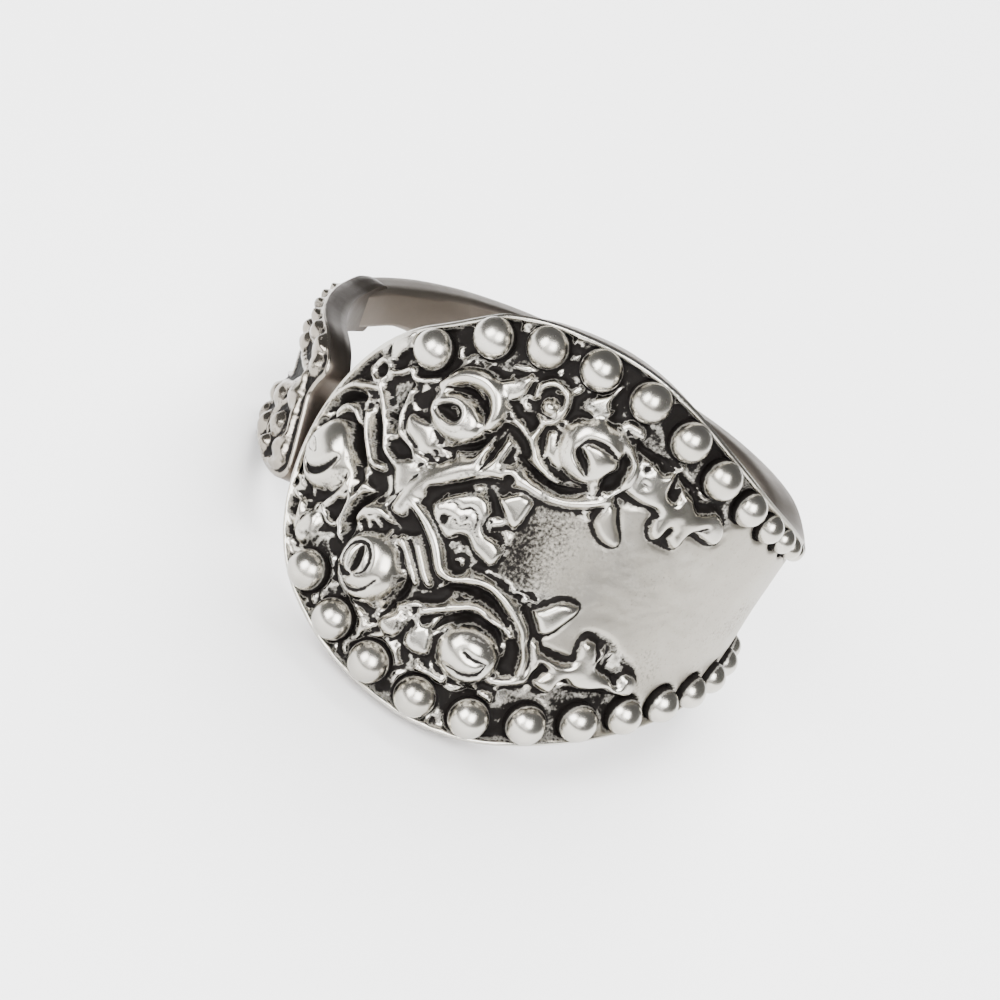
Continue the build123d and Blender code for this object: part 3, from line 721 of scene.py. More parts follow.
    Groove(.1, .14, [(41.4, 2.3), (42.8, 2.0), (43.4, 1.5)], .7),
    Groove(.1, .16, [(20.4, -4.64), (24.6, -4.68), (28.4, -4.62), (28, -4.2), (27.6, -3.9)], .85),
    Groove(.2, .24, [(31.4, -3.82), (32.5, -4.0), (32.8, -4.3)], .9),
    Groove(.16, .2, [(36.6, -3.9), (36.9, -4.5), (38.8, -4.6), (40.8, -4.76), (40.2, -4.5)], .85),
    Groove(.07, .1, [(39.4, -4.05), (42, -4.12), (44.4, -4.08)], .6),
    Groove(.2, .3, [(28.7, -6.0), (28.6, -5.6), (30.8, -5.45)], .9),
    Groove(.22, .3, [(30.6, -5.72), (33.4, -5.66), (36, -5.5), (39, -5.36), (42, -5.26), (45, -5.2)], .9),
    Groove(.1, .16, [(18.8, .95), (20.5, .5), (22.2, .12), (23.4, -.2)], .7),
    Groove(.1, .14, [(15.2, -.04), (17.6, -.36), (20.6, -.54), (22.8, -.46)], .7),
    Groove(.1, .14, [(23.9, -3.1), (22.8, -3.6), (21.4, -4.15), (19.6, -4.4)], .7),
    # black under the bead row
    Groove(.28, .3, [(14.4, 3.3), (16.4, 3.02), (20, 2.98), (25, 3.14)]),
    Groove(.26, .3, [(26.6, 2.9), (29.2, 2.7), (32, 2.66)]),
    Hollow([(1.2, 3.02), (2.4, 2.9), (4.8, 3.1), (3, 3.18)]),
    Hollow([(7.2, 4.3), (8.2, 3.5), (9.6, 3.55), (8.6, 4.0)]),
)

TAIL_CARVING = (
    Ridge(.4, .2, [(298, -2.0), (300.5, -2.8), (303, -3.6), (305.3, -4.4), (306, -5.0), (300.5, -5.35)], .9),
    Ridge(.3, .1, [(262, .1), (272, -.25), (282, -.5), (291, -.85)], .9),
    Ridge(.3, .12, [(281, -.95), (286, -1.45), (292, -1.75), (297.5, -1.8)], .9),
    Ridge(.26, .12, [(296, -2.2), (292, -2.75), (286, -3.0), (280, -3.3)], .9),
    Ridge(.26, .1, [(294, -3.2), (290, -4.0), (291, -4.7)], .9),
    Ridge(.3, .14, [(268, -4.4), (272, -4.95), (282, -5.2), (292, -5.35)], .9),
)


@dataclass
class Carver:
    """Works the relief of the shield and of the tail."""

    scroll_count: int = 340

    def shield(self) -> Face:
        """Carves the strip's face.

        Returns:
            The finished face.
        """
        face = Face((-50.0, 112.0), (-9.6, 5.9))
        turns = face.turn[:, 0]
        edges = np.array([STRIP_FORM.edges(turn)[:2] for turn in turns])
        slope = np.hypot(1, np.gradient(edges, turns * DEGREE, axis=0))
        inside = np.minimum((face.across - edges[:, :1]) / slope[:, :1], (edges[:, 1:] - face.across) / slope[:, 1:])
        away = END_RADIUS - FACE * np.sin(np.radians(face.turn - END_TURN))
        rounded = END_RADIUS - np.hypot(away, face.across - STRIP_FORM.end_middle())
        inside = rounded + ramp(face.turn, ROUND_TO[0] - 4, ROUND_TO[0]) * (inside - rounded)
        self.ground(face, inside)
        bare_relief, bare_black, plain = face.relief.copy(), face.black.copy(), np.clip(face.satin_and_shade, 0, 1)
        for scroll in self.scrolls():
            scroll.carve(face)
        face.relief += plain * (bare_relief - face.relief)
        face.black += plain * (bare_black - face.black)
        for work in CARVING:
            work.carve(face)
        self.sink_beads(face)
        self.age(face)
        face.relief[:] = face.soften(face.soften(face.relief, 0.045), 0.045)
        self.lip(face, inside)
        return face

    def ground(self, face: Face, inside: np.ndarray) -> None:
        """Sinks the ground of the ornament, black, and leaves the plain field bright and satin, with painted shade
        that darkens it towards its right end.

        Args:
            face: the face to work on.
            inside: distance of each cell inside the strip's outline, in mm.
        """
        field_depth = face.inside(flowing(PLAIN_FIELD, 4, closed=True), WHOLE)
        turn = face.turn
        plain = np.maximum(ramp(field_depth, -0.05, 0.1), ramp(turn, 42, 46))
        dish = -0.1 * np.clip(inside / 5, 0, 1)
        grain = face.rough(0.3, 0.14, 11)
        lumps = 0.09 * ramp(grain, -0.6, 1.2)
        face.relief[:] = GROUND + lumps + plain * (0.02 + dish - GROUND - lumps)
        ornament = 0.85 - 0.4 * ramp(inside, 1.1, 2.0) - 0.35 * ramp(grain, -0.4, 1.0)
        speckled = 0.08 + 0.38 * (1 - ramp(turn, 7, 26)) + 0.1 * ramp(face.grains(0.9, 13), 0.4, 1.8)
        face.black[:] = ornament + plain * (speckled - ornament)
        # The plain field is satin. Towards its right end the value grows, which also darkens its colour: painted shade
        # where the field turns away.
        face.satin_and_shade[:] = plain * (1 + 0.8 * ramp(turn, 28, 60))

    def scrolls(self) -> list[Ridge]:
        """Small curled leaves that fill the ground between the larger forms.

        Returns:
            The leaves, as ridges.
        """
        chance = np.random.default_rng(17)
        made = []
        for _ in range(self.scroll_count):
            turn, height = chance.uniform(-46, 17), chance.uniform(-9, 5)
            heading, bend = chance.uniform(0, math.tau), chance.normal(0, 0.9)
            stride = chance.uniform(0.2, 0.38)
            route = []
            for _ in range(4):
                route.append((turn, height))
                turn += stride * math.cos(heading) / DEGREE
                height += stride * math.sin(heading)
                heading += bend
            made.append(Ridge(chance.uniform(0.16, 0.3), chance.uniform(0.0, 0.2), route))
        return made

    def sink_beads(self, face: Face) -> None:
        """Cuts a cup round each border bead and leaves it black.

        Args:
            face: the face to work on.
        """
        for turn, height, size in BorderBeads.places():
            x, y = face.along - turn * DEGREE, face.across - height
            away = np.hypot(x, y)
            cup = 1 - ramp(away, size + 0.05, size + 0.14)
            face.relief += cup * (np.minimum(face.relief, GROUND) - face.relief)
            face.black = np.maximum(face.black, 1 - ramp(away, size + 0.05, size + 0.12))

    def age(self, face: Face) -> None:
        """Roughens the ornament a little and blackens what lies low beside raised metal.

        Args:
            face: the face to work on.
        """
        worked = 1 - ramp(face.turn, 6, 20)
        rough = face.rough(0.22, 0.1, 3)
        low = ramp(face.soften(face.relief, 0.18) - face.relief, 0.015, 0.08)
        raised = ramp(face.relief, 0.3, 0.5)
        face.relief += rough * (0.004 + 0.012 * worked) * (1 - ramp(face.relief, 0.05, 0.3))
        face.black = np.maximum(face.black, low * 0.95 * (1 - ramp(face.relief, 0.06, 0.2)))
        mottled = ramp(rough, 0.3, 1.5) * worked * (1 - raised) * 0.45
        face.black = np.clip(np.maximum(face.black, mottled), 0, 1)

    def lip(self, face: Face, inside: np.ndarray) -> None:
        """Raises the thin lip along the outline.

        Args:
            face: the face to work on.
            inside: distance of each cell inside the strip's outline, in mm.
        """
        body = 1 - ramp(inside, LIP_WIDTH * 0.75, LIP_WIDTH * 1.15)
        face.relief += body * (LIP - edge_rounding(inside) - face.relief)
        face.black *= 1 - body

    def tail(self) -> Face:
        """Carves the tail's face.

        Returns:
            The finished face.
        """
        face = Face((246.0, 314.0), (-6.0, 1.5))
        inside = face.inside(tail_line(4), WHOLE)
        face.relief[:] = -0.1
        face.black[:] = 0.75
        domes = [Dome(turn, share * TAIL_LENGTH, size * TAIL_BUMP * 0.62, size * TAIL_BUMP * 0.62, 0.3, 2.0)
                 for turn, share, size in TAIL_BUMPS]
        for work in (*TAIL_CARVING, *domes):
            work.carve(face)
        face.relief[:] = face.soften(face.relief, 0.07)
        rough = face.rough(0.2, 0.09, 21)
        face.relief += rough * 0.02
        face.black = np.clip(np.maximum(face.black - 0.25 * ramp(rough, 0.5, 1.6), 0.3 * ramp(rough, 0.2, 1.4)), 0, 1)
        body = 1 - ramp(inside, 0.1, 0.24)
        face.relief += body * (-0.02 - edge_rounding(inside, 0.1) - face.relief)
        face.relief -= SUNK * (1 - ramp(face.turn, *TAIL_SUNK))
        face.black *= (1 - body) * ramp(face.turn, 252, 264)
        return face


# ---------------------------------------------------------------------------- finishes
MIX_INPUTS, MIX_OUTPUT = (0, 6, 7), 2    # sockets of a colour mix: share, both colours, and the result
FILM_EDGE = (0.12, 0.62)                 # how hollow a place is where the black starts and is full


def group(name: str, inputs: Iterable[tuple[str, float]], outputs: Iterable[str]) -> tuple:
    """Empty shader node group with named sockets.

    Args:
        name: the group's name.
        inputs: each input's name and value.
        outputs: names of the float outputs.

    Returns:
        The node tree, its input node and its output node.
    """
    tree = bpy.data.node_groups.new(name, "ShaderNodeTree")
    for label, value in inputs:
        socket = tree.interface.new_socket(name=label, in_out="INPUT", socket_type="NodeSocketFloat")
        socket.default_value = value
    for label in outputs:
        tree.interface.new_socket(name=label, in_out="OUTPUT", socket_type="NodeSocketFloat")
    return tree, tree.nodes.new("NodeGroupInput"), tree.nodes.new("NodeGroupOutput")


@dataclass
class Wiring:
    """Adds nodes to one node tree."""

    tree: bpy.types.NodeTree

    def node(self, kind: str, **values: object) -> bpy.types.Node:
        """New node with its plain properties set.

        Args:
            kind: the node's type.
            values: a value for each named property.

        Returns:
            The node.
        """
        made = self.tree.nodes.new(kind)
        for name, value in values.items():
            setattr(made, name, value)
        return made

    def join(self, start: bpy.types.NodeSocket, end: bpy.types.NodeSocket) -> None:
        """Links two sockets."""
        self.tree.links.new(start, end)

    def feed(self, value: object, end: bpy.types.NodeSocket) -> None:
        """Links a socket to another, or sets its value.

        Args:
            value: a socket or a plain value.
            end: the socket that gets it.
        """
        if isinstance(value, bpy.types.NodeSocket):
            self.join(value, end)
        else:
            end.default_value = value

    def attribute(self, name: str) -> bpy.types.NodeSocket:
        """Value of an attribute of the mesh."""
        return self.node("ShaderNodeAttribute", attribute_name=name).outputs["Fac"]

    def use(self, tree: bpy.types.NodeTree, values: dict[str, object]) -> bpy.types.Node:
        """Places a node group with its own values.

        Args:
            tree: the group.
            values: a number or a socket for each named input.

        Returns:
            The node.
        """
        made = self.node("ShaderNodeGroup", node_tree=tree)
        for label, value in values.items():
            self.feed(value, made.inputs[label])
        return made

    def mix(self, share: bpy.types.NodeSocket, first: object, second: object) -> bpy.types.NodeSocket:
        """Colour between two.

        Args:
            share: how much of the second colour shows.
            first: a socket, or red, green and blue.
            second: a socket, or red, green and blue.

        Returns:
            The node's output.
        """
        made = self.node("ShaderNodeMix", data_type="RGBA")
        for value, number in zip((share, first, second), MIX_INPUTS):
            self.feed((*value, 1) if isinstance(value, tuple) else value, made.inputs[number])
        return made.outputs[MIX_OUTPUT]

    def maths(self, operation: str, *values: object, clamp: bool = False) -> bpy.types.NodeSocket:
        """Maths node on sockets or numbers.

        Args:
            operation: the node's operation.
            values: sockets or numbers, in the order of the inputs.
            clamp: whether the result stays from 0 to 1.

        Returns:
            The node's output.
        """
        made = self.node("ShaderNodeMath", operation=operation, use_clamp=clamp)
        for value, end in zip(values, made.inputs):
            self.feed(value, end)
        return made.outputs[0]

    def noise(self, scale: float | bpy.types.NodeSocket, detail: float, rough: float = 0.5,
              stretch: tuple[float, float, float] | None = None) -> bpy.types.NodeSocket:
        """Noise on Object coordinates.

        Args:
            scale: grains for each metre, or a socket that gives them.
            detail: the node's detail.
            rough: the node's roughness.
            stretch: how much closer the grains lie along each axis.

        Returns:
            The node's value.
        """
        place = self.node("ShaderNodeTexCoord").outputs["Object"]
        if stretch:
            mapping = self.node("ShaderNodeMapping")
            mapping.inputs["Scale"].default_value = stretch
            self.join(place, mapping.inputs["Vector"])
            place = mapping.outputs["Vector"]
        made = self.node("ShaderNodeTexNoise")
        made.inputs["Detail"].default_value = detail
        made.inputs["Roughness"].default_value = rough
        self.feed(scale, made.inputs["Scale"])
        self.join(place, made.inputs["Vector"])
        return made.outputs["Fac"]


def black_film() -> bpy.types.NodeTree:
    """Group that says where black oxide stays: mostly in hollows, with a torn edge.

    Returns:
        The node tree.
    """
    tree, start, end = group("black_film", [("Hollow", 0.0), ("Grain Scale", 9000.0), ("Tear", 0.3)], ["Mask"])
    wires = Wiring(tree)
    grain = wires.noise(start.outputs["Grain Scale"], 5, 0.6)
    torn = wires.maths("MULTIPLY", wires.maths("SUBTRACT", grain, 0.5), start.outputs["Tear"])
    mixed = wires.maths("ADD", start.outputs["Hollow"], torn)
    step = wires.node("ShaderNodeMapRange", interpolation_type="SMOOTHSTEP")
    step.inputs["From Min"].default_value, step.inputs["From Max"].default_value = FILM_EDGE
    wires.join(mixed, step.inputs["Value"])
    wires.join(step.outputs["Result"], end.inputs["Mask"])
    return tree


def wear_marks() -> bpy.types.NodeTree:
    """Group of casting grain and fine polishing scratches.

    Returns:
        The node tree.
    """
    inputs = [("Grain Scale", 6000.0), ("Grain", 0.5), ("Scratches", 0.5), ("Dents", 1.0)]
    tree, start, end = group("wear_marks", inputs, ["Height", "Dullness"])
    wires = Wiring(tree)
    grain = wires.noise(start.outputs["Grain Scale"], 6, 0.62)
    first = wires.noise(2600.0, 3, 0.6, (1, 14, 6))
    second = wires.noise(3100.0, 3, 0.6, (11, 1, 8))
    lines = wires.maths("MULTIPLY", wires.maths("ADD", first, second), 0.5)
    height = wires.maths("ADD", wires.maths("MULTIPLY", grain, start.outputs["Grain"]),
                         wires.maths("MULTIPLY", lines, start.outputs["Scratches"]))
    dents = wires.maths("MULTIPLY", wires.noise(1500.0, 2), start.outputs["Dents"])
    height = wires.maths("ADD", height, dents)
    cloudy = wires.noise(700.0, 4, 0.6)
    wires.join(height, end.inputs["Height"])
    wires.join(wires.maths("SUBTRACT", cloudy, 0.5), end.inputs["Dullness"])
    return tree


def new_material(name: str) -> tuple[bpy.types.Material, bpy.types.Node, Wiring]:
    """Empty material.

    Args:
        name: the material's name.

    Returns:
        The material, its shader, and the wiring of its nodes.
    """
    material = bpy.data.materials.new(name)
    material.use_nodes = True
    shader = next(node for node in material.node_tree.nodes if node.type == "BSDF_PRINCIPLED")
    return material, shader, Wiring(material.node_tree)


@dataclass(frozen=True)
class Silver:
    """Antiqued silver: bright on top, black where the hollow attribute says."""

    name: str
    bright: tuple[float, float, float] = (0.52, 0.5, 0.453)
    warm: tuple[float, float, float] = (0.38, 0.355, 0.305)
    black: tuple[float, float, float] = (0.006, 0.005, 0.0045)
    polish: float = 0.22
    satin_and_shade: float = 0.14
    film_roughness: float = 0.62
    film_metal: float = 0.02
    tear: float = 1.0
    grain_scale: float = 9000.0
    grain: float = 0.5
    scratches: float = 0.4
    dents: float = 3.0
    bump: float = 0.000004
    hollow: float | None = None              # where it isn't given, the hollow attribute says
    gloss: float = 0.07
    cloud_scale: float = 420.0
    cloud: tuple[float, float] = (2.2, -0.7)
    # how much warmer and darker the colour turns with satin_and_shade: the satin field's tone, and painted shade
    satin_and_shade_warmth: float = 0.5
    cloudy_polish: float = 0.22

    def build(self, groups: dict[str, bpy.types.NodeTree]) -> bpy.types.Material:
        """Makes the material.

        Args:
            groups: the shared node groups by name.

        Returns:
            The material.
        """
        material, shader, wires = new_material(self.name)
        hollow = wires.attribute("hollow") if self.hollow is None else self.hollow
        film = wires.use(groups["black_film"], {"Hollow": hollow, "Grain Scale": self.grain_scale,
                                                "Tear": self.tear}).outputs["Mask"]
        wear = wires.use(groups["wear_marks"], {"Grain Scale": self.grain_scale, "Grain": self.grain,
                                                "Scratches": self.scratches, "Dents": self.dents})
        shader.inputs["Specular IOR Level"].default_value = self.gloss
        satin_and_shade = wires.attribute("satin_and_shade")
        cloud = wires.maths("MULTIPLY_ADD", wires.noise(self.cloud_scale, 4, 0.6), *self.cloud)
        # warmer, darker colour where satin_and_shade is high: the satin field's own tone, and painted shade on the
        # field's right end and on the tail
        warmth = wires.maths("MULTIPLY_ADD", satin_and_shade, self.satin_and_shade_warmth, cloud, clamp=True)
        colour = wires.mix(film, wires.mix(warmth, self.bright, self.warm), self.black)
        wires.join(colour, shader.inputs["Base Color"])
        dull = wires.maths("MULTIPLY_ADD", wear.outputs["Dullness"], self.cloudy_polish, self.polish)
        dull = wires.maths("MULTIPLY_ADD", satin_and_shade, self.satin_and_shade, dull)
        spread = wires.maths("MULTIPLY_ADD", film, self.film_roughness - self.polish, dull, clamp=True)
        wires.join(spread, shader.inputs["Roughness"])
        metal = wires.maths("MULTIPLY_ADD", film, self.film_metal - 1, 1.0, clamp=True)
        wires.join(metal, shader.inputs["Metallic"])
        relief = wires.node("ShaderNodeBump")
        relief.inputs["Strength"].default_value = 1.0
        relief.inputs["Distance"].default_value = self.bump
        wires.join(wear.outputs["Height"], relief.inputs["Height"])
        wires.join(relief.outputs["Normal"], shader.inputs["Normal"])
        return material


@dataclass(frozen=True)
class FloorPaint:
    """Plain pale floor, faintly uneven."""

    colour: tuple[float, float, float] = (0.93, 0.93, 0.93)
    shade: tuple[float, float, float] = (0.9, 0.9, 0.905)
    patches: float = 14.0
    roughness: float = 0.55

    def build(self) -> bpy.types.Material:
        """Makes the material.

        Returns:
            The material.
        """
        material, shader, wires = new_material("pale_floor")
        wires.join(wires.mix(wires.noise(self.patches, 2), self.colour, self.shade), shader.inputs["Base Color"])
        shader.inputs["Roughness"].default_value = self.roughness
        return material


# ---------------------------------------------------------------------------- pieces
def add_object(name: str, data: bpy.types.ID) -> bpy.types.Object:
    """New object in the scene.

    Args:
        name: the object's name.
        data: its mesh or other data.

    Returns:
        The object.
    """
    made = bpy.data.objects.new(name, data)
    bpy.context.scene.collection.objects.link(made)
    return made


def solid_mesh(mesh: bmesh.types.BMesh, name: str, materials: Sequence[bpy.types.Material]) -> bpy.types.Mesh:
    """Turns a bmesh into mesh data.

    Args:
        mesh: the geometry, which is freed.
        name: the mesh's name.
        materials: its materials in slot order.

    Returns:
        The mesh data.
    """
    data = bpy.data.meshes.new(name)
    mesh.to_mesh(data)
    mesh.free()
    for material in materials:
        data.materials.append(material)
    return data


def finish_piece(mesh: bmesh.types.BMesh, name: str, materials: Sequence[bpy.types.Material]) -> bpy.types.Object:
    """Turns a bmesh into a finished, smooth piece that rides on the ring's body.

    Args:
        mesh: the geometry, which is freed.
        name: the piece's name.
        materials: its materials in slot order.

    Returns:
        The piece.
    """
    bmesh.ops.recalc_face_normals(mesh, faces=mesh.faces)
    for face in mesh.faces:
        face.smooth = True
    data = solid_mesh(mesh, name, materials)
    piece = add_object(name, data)
    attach(piece, BODY)
    LOG.info("%s: %d faces", name, len(data.polygons))
    return piece


def grid(columns: int, rows: int) -> tuple[bmesh.types.BMesh, np.ndarray, np.ndarray]:
    """Flat grid to be bent into shape.

    Args:
        columns: faces along it.
        rows: faces across it.

    Returns:
        The bmesh, and the column and the row of each of its vertices.
    """
    mesh = bmesh.new()
    bmesh.ops.create_grid(mesh, x_segments=columns, y_segments=rows, size=1.0)
    flat = np.array([vertex.co[:2] for vertex in mesh.verts])
    column = np.rint((flat[:, 0] + 1) / 2 * columns).astype(int)
    row = np.rint((flat[:, 1] + 1) / 2 * rows).astype(int)
    return mesh, column, row


def place(mesh: bmesh.types.BMesh, points: np.ndarray, hollow: np.ndarray, satin_and_shade: np.ndarray) -> None:
    """Moves every vertex to its point and keeps how black it is, and how matt and how darkened by painted shade.

    Args:
        mesh: the bmesh.
        points: a point for each vertex, in metres.
        hollow: how black each vertex is.
        satin_and_shade: how matt each vertex is, and how much painted shade darkens its colour.
    """
    black, matt_and_shade = (mesh.verts.layers.float.new(name) for name in ("hollow", "satin_and_shade"))
    for vertex, point, value, dull in zip(mesh.verts, points, hollow, satin_and_shade):
        vertex.co = point
        vertex[black], vertex[matt_and_shade] = value, dull


def wall_shares(line: np.ndarray, outer: int, edge: int, inner: int) -> tuple[np.ndarray, np.ndarray, np.ndarray]:
    """Where the lines of a grid lie once it is wrapped into a closed wall.

    Args:
        line: the line of each vertex.
        outer: faces over the outer side.
        edge: faces over each edge.
        inner: faces over the finger side.

    Returns:
        Whether each is past the outer side, its share of the way back, and its share of the wall's height.
    """
    past = np.clip(line - outer, 0, None)
    down = np.clip(past / edge, 0, 1)
    back = np.clip((past - edge) / inner, 0, 1)
    up = np.clip((past - edge - inner) / edge, 0, 1)
    return past > 0, back, np.where(up > 0, up, 1 - down)


def close_wall(mesh: bmesh.types.BMesh, line: np.ndarray, outer: int) -> None:
    """Gives the faces past the outer side the second material, and closes the seam and both ends.

    Args:
        mesh: the wrapped bmesh.
        line: the line of each vertex.
        outer: faces over the outer side.
    """
    index = {vertex: number for number, vertex in enumerate(mesh.verts)}
    for face in mesh.faces:
        face.material_index = int(max(line[index[vertex]] for vertex in face.verts) > outer)
    bmesh.ops.remove_doubles(mesh, verts=mesh.verts, dist=MERGE)
    bmesh.ops.holes_fill(mesh, edges=[edge for edge in mesh.edges if edge.is_boundary], sides=0)


@dataclass
class WoundStrip:
    """The strip: carved shield, neck and back, as one closed wall."""

    fine_step: float = 0.33
    fine_to: float = 47.0
    middle_step: float = 0.9
    coarse_step: float = 2.6
    end_turn: float = 262.0
    end_steps: int = 60
    face_rows: int = 203
    wall_rows: int = 4
    inner_rows: int = 14
    corner: float = 0.14

    def turns(self) -> np.ndarray:
        """Turn of each column, closer together where the shield's end is round.

        Returns:
            The turns, in degrees.
        """
        swing = np.linspace(0, 1, self.end_steps + 1)[:-1] * math.pi / 3.6
        tip = END_TURN + np.degrees(np.arcsin(END_RADIUS * (1 - np.cos(swing)) / FACE))
        fine = np.arange(tip[-1] + self.fine_step, self.fine_to, self.fine_step)
        middle = np.arange(fine[-1] + self.middle_step, BEADS_TO + 2, self.middle_step)
        coarse = np.linspace(middle[-1] + self.middle_step, self.end_turn,
                             int((self.end_turn - middle[-1]) / self.coarse_step))
        return np.concatenate([tip, fine, middle, coarse])

    def build(self, face: Face, outside: bpy.types.Material, inner: bpy.types.Material) -> bpy.types.Object:
        """Bends a grid round the finger and lays the relief on its outer side.

        Args:
            face: the carved face.
            outside: finish of the carved side.
            inner: finish of the edges and of the finger side.

        Returns:
            The piece.
        """
        turns = self.turns()
        rows = self.face_rows + 2 * self.wall_rows + self.inner_rows
        mesh, column, row = grid(len(turns) - 1, rows)
        turn = turns[column]
        low, high, outer, bore = np.array([STRIP_FORM.edges(value) for value in turns])[column].T
        height = low + np.clip(row / self.face_rows, 0, 1) * (high - low)
        relief, black, satin_and_shade = (face.read(values, turn, height) for values in (face.relief, face.black, face.satin_and_shade))
        # The back is plain, with a lip that dies away towards the tail
        inside = np.minimum(height - low, high - height)
        behind = ramp(turn, BEADS_TO - 4, BEADS_TO + 8)
        lip = LIP * (1 - ramp(turn, *LIP_FADE))
        rim = lip * (1 - ramp(inside, 0.12, 0.3))
        relief = relief + behind * (rim - edge_rounding(inside) - relief)
        # The end runs into the tail
        sunk = SUNK * ramp(turn, *STRIP_SUNK)
        low, high, bore = low + sunk / 3, high - sunk / 3, bore + sunk / 2
        edge_radius = outer + lip - EDGE_DROP - sunk
        wall, back, fall = wall_shares(row, self.face_rows, self.wall_rows, self.inner_rows)
        radius = np.where(wall, bore + (edge_radius - bore) * fall, outer + relief - sunk)
        tuck = np.minimum(self.corner, (high - low) / 2) * np.clip(1 - fall * 5, 0, 1)
        crossing = np.clip(high + back * (low - high), low + tuck, np.maximum(low + tuck, high - tuck))
        height = np.where(wall, crossing, height)
        black = np.where(wall, 0.0, black * (1 - behind))
        place(mesh, LYING.points(turn, radius, height), black, satin_and_shade)
        close_wall(mesh, row, self.face_rows)
        piece = finish_piece(mesh, "wound_strip", [outside, inner])
        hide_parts(NODE)
        return piece


@dataclass
class BorderBeads:
    """The round beads along both edges of the shield and neck."""

    around: int = 28
    upward: int = 16
    uneven: float = 0.006
    tarnish_and_rim_shade: tuple[float, float] = (-0.08, 0.36)   # how high on its side the black ends: oxide at its foot, and painted shade up its rim

    @staticmethod
    def size_at(turn: float, edge: Edge) -> float:
        """Radius of the beads at one place.

        Args:
            turn: degrees round the finger.
            edge: the strip's edge.

        Returns:
            The radius, in mm.
        """
        low = max((r for r in BEAD_ROWS[:-1] if r[0] <= turn), key=lambda r: r[0])
        high = BEAD_ROWS[BEAD_ROWS.index(low) + 1]
        share = (turn - low[0]) / (high[0] - low[0])
        column = 1 if edge is Edge.UPPER else 2
        return BEAD / 2 * (low[column] + share * (high[column] - low[column]))

    @classmethod
    def places(cls) -> list[tuple[float, float, float]]:
        """Places of the border beads.

        Returns:
            Turn, height and radius of each.
        """
        found = []
        for edge, turn in FIRST_BEADS.items():
            number = 1 if edge is Edge.UPPER else 0
            while turn < BEADS_TO:
                size = cls.size_at(turn, edge)
                level, ahead = (STRIP_FORM.edges(value)[number] for value in (turn, turn + 1))
                inset = (size + LIP_WIDTH / 2) * math.hypot(1, (ahead - level) / DEGREE)
                found.append((turn, level - edge.value * inset, size))
                slope = STRIP_FORM.at(turn + 1)[number] - STRIP_FORM.at(turn)[number]
                turn += 2 * size * (1 + BEAD_GAP / BEAD) / math.hypot(DEGREE, slope)
        return found

    def build(self, finish: bpy.types.Material) -> bpy.types.Object:
        """Sets the beads, each a little off round as cast beads are.

        Args:
            finish: finish of the beads.

        Returns:
            The piece.
        """
        mesh = bmesh.new()
        layer = mesh.verts.layers.float.new("hollow")
        chance = np.random.default_rng(5)
        for turn, height, size in self.places():
            radius = STRIP_FORM.at(turn)[2] + BEAD_STAND
            self.add(mesh, layer, (turn, radius, height), size, chance)
        return finish_piece(mesh, "border_beads", [finish])

    def add(self, mesh: bmesh.types.BMesh, layer: object, middle: tuple[float, float, float], size: float,
            chance: np.random.Generator) -> None:
        """Adds one bead, black low on its side: oxide at its foot, and painted shade up its rim.

        Args:
            mesh: the bmesh to add to.
            layer: the layer of how black a vertex is.
            middle: turn in degrees, and distance from the finger's axis and height along it in mm.
            size: its radius, in mm.
            chance: source of the small unevenness.
        """
        made = bmesh.ops.create_uvsphere(mesh, u_segments=self.around, v_segments=self.upward, radius=size * MM)
        turn, radius, height = (np.array(value) for value in middle)
        centre = Vector(LYING.points(turn, radius, height))
        outward = (Vector(LYING.points(turn, radius + 1, height)) - centre).normalized()
        turned = Vector((0, 0, 1)).rotation_difference(outward).to_matrix()
        lobes = chance.normal(0, 1, (3, 3))
        for vertex in made["verts"]:
            normal = vertex.co.normalized()
            bulge = sum(math.sin(2.2 * normal.dot(Vector(lobe)) + number) for number, lobe in enumerate(lobes))
            vertex[layer] = float(1 - ramp(np.array(normal.z), *self.tarnish_and_rim_shade))
            vertex.co = turned @ (vertex.co * (1 + self.uneven * bulge)) + centre


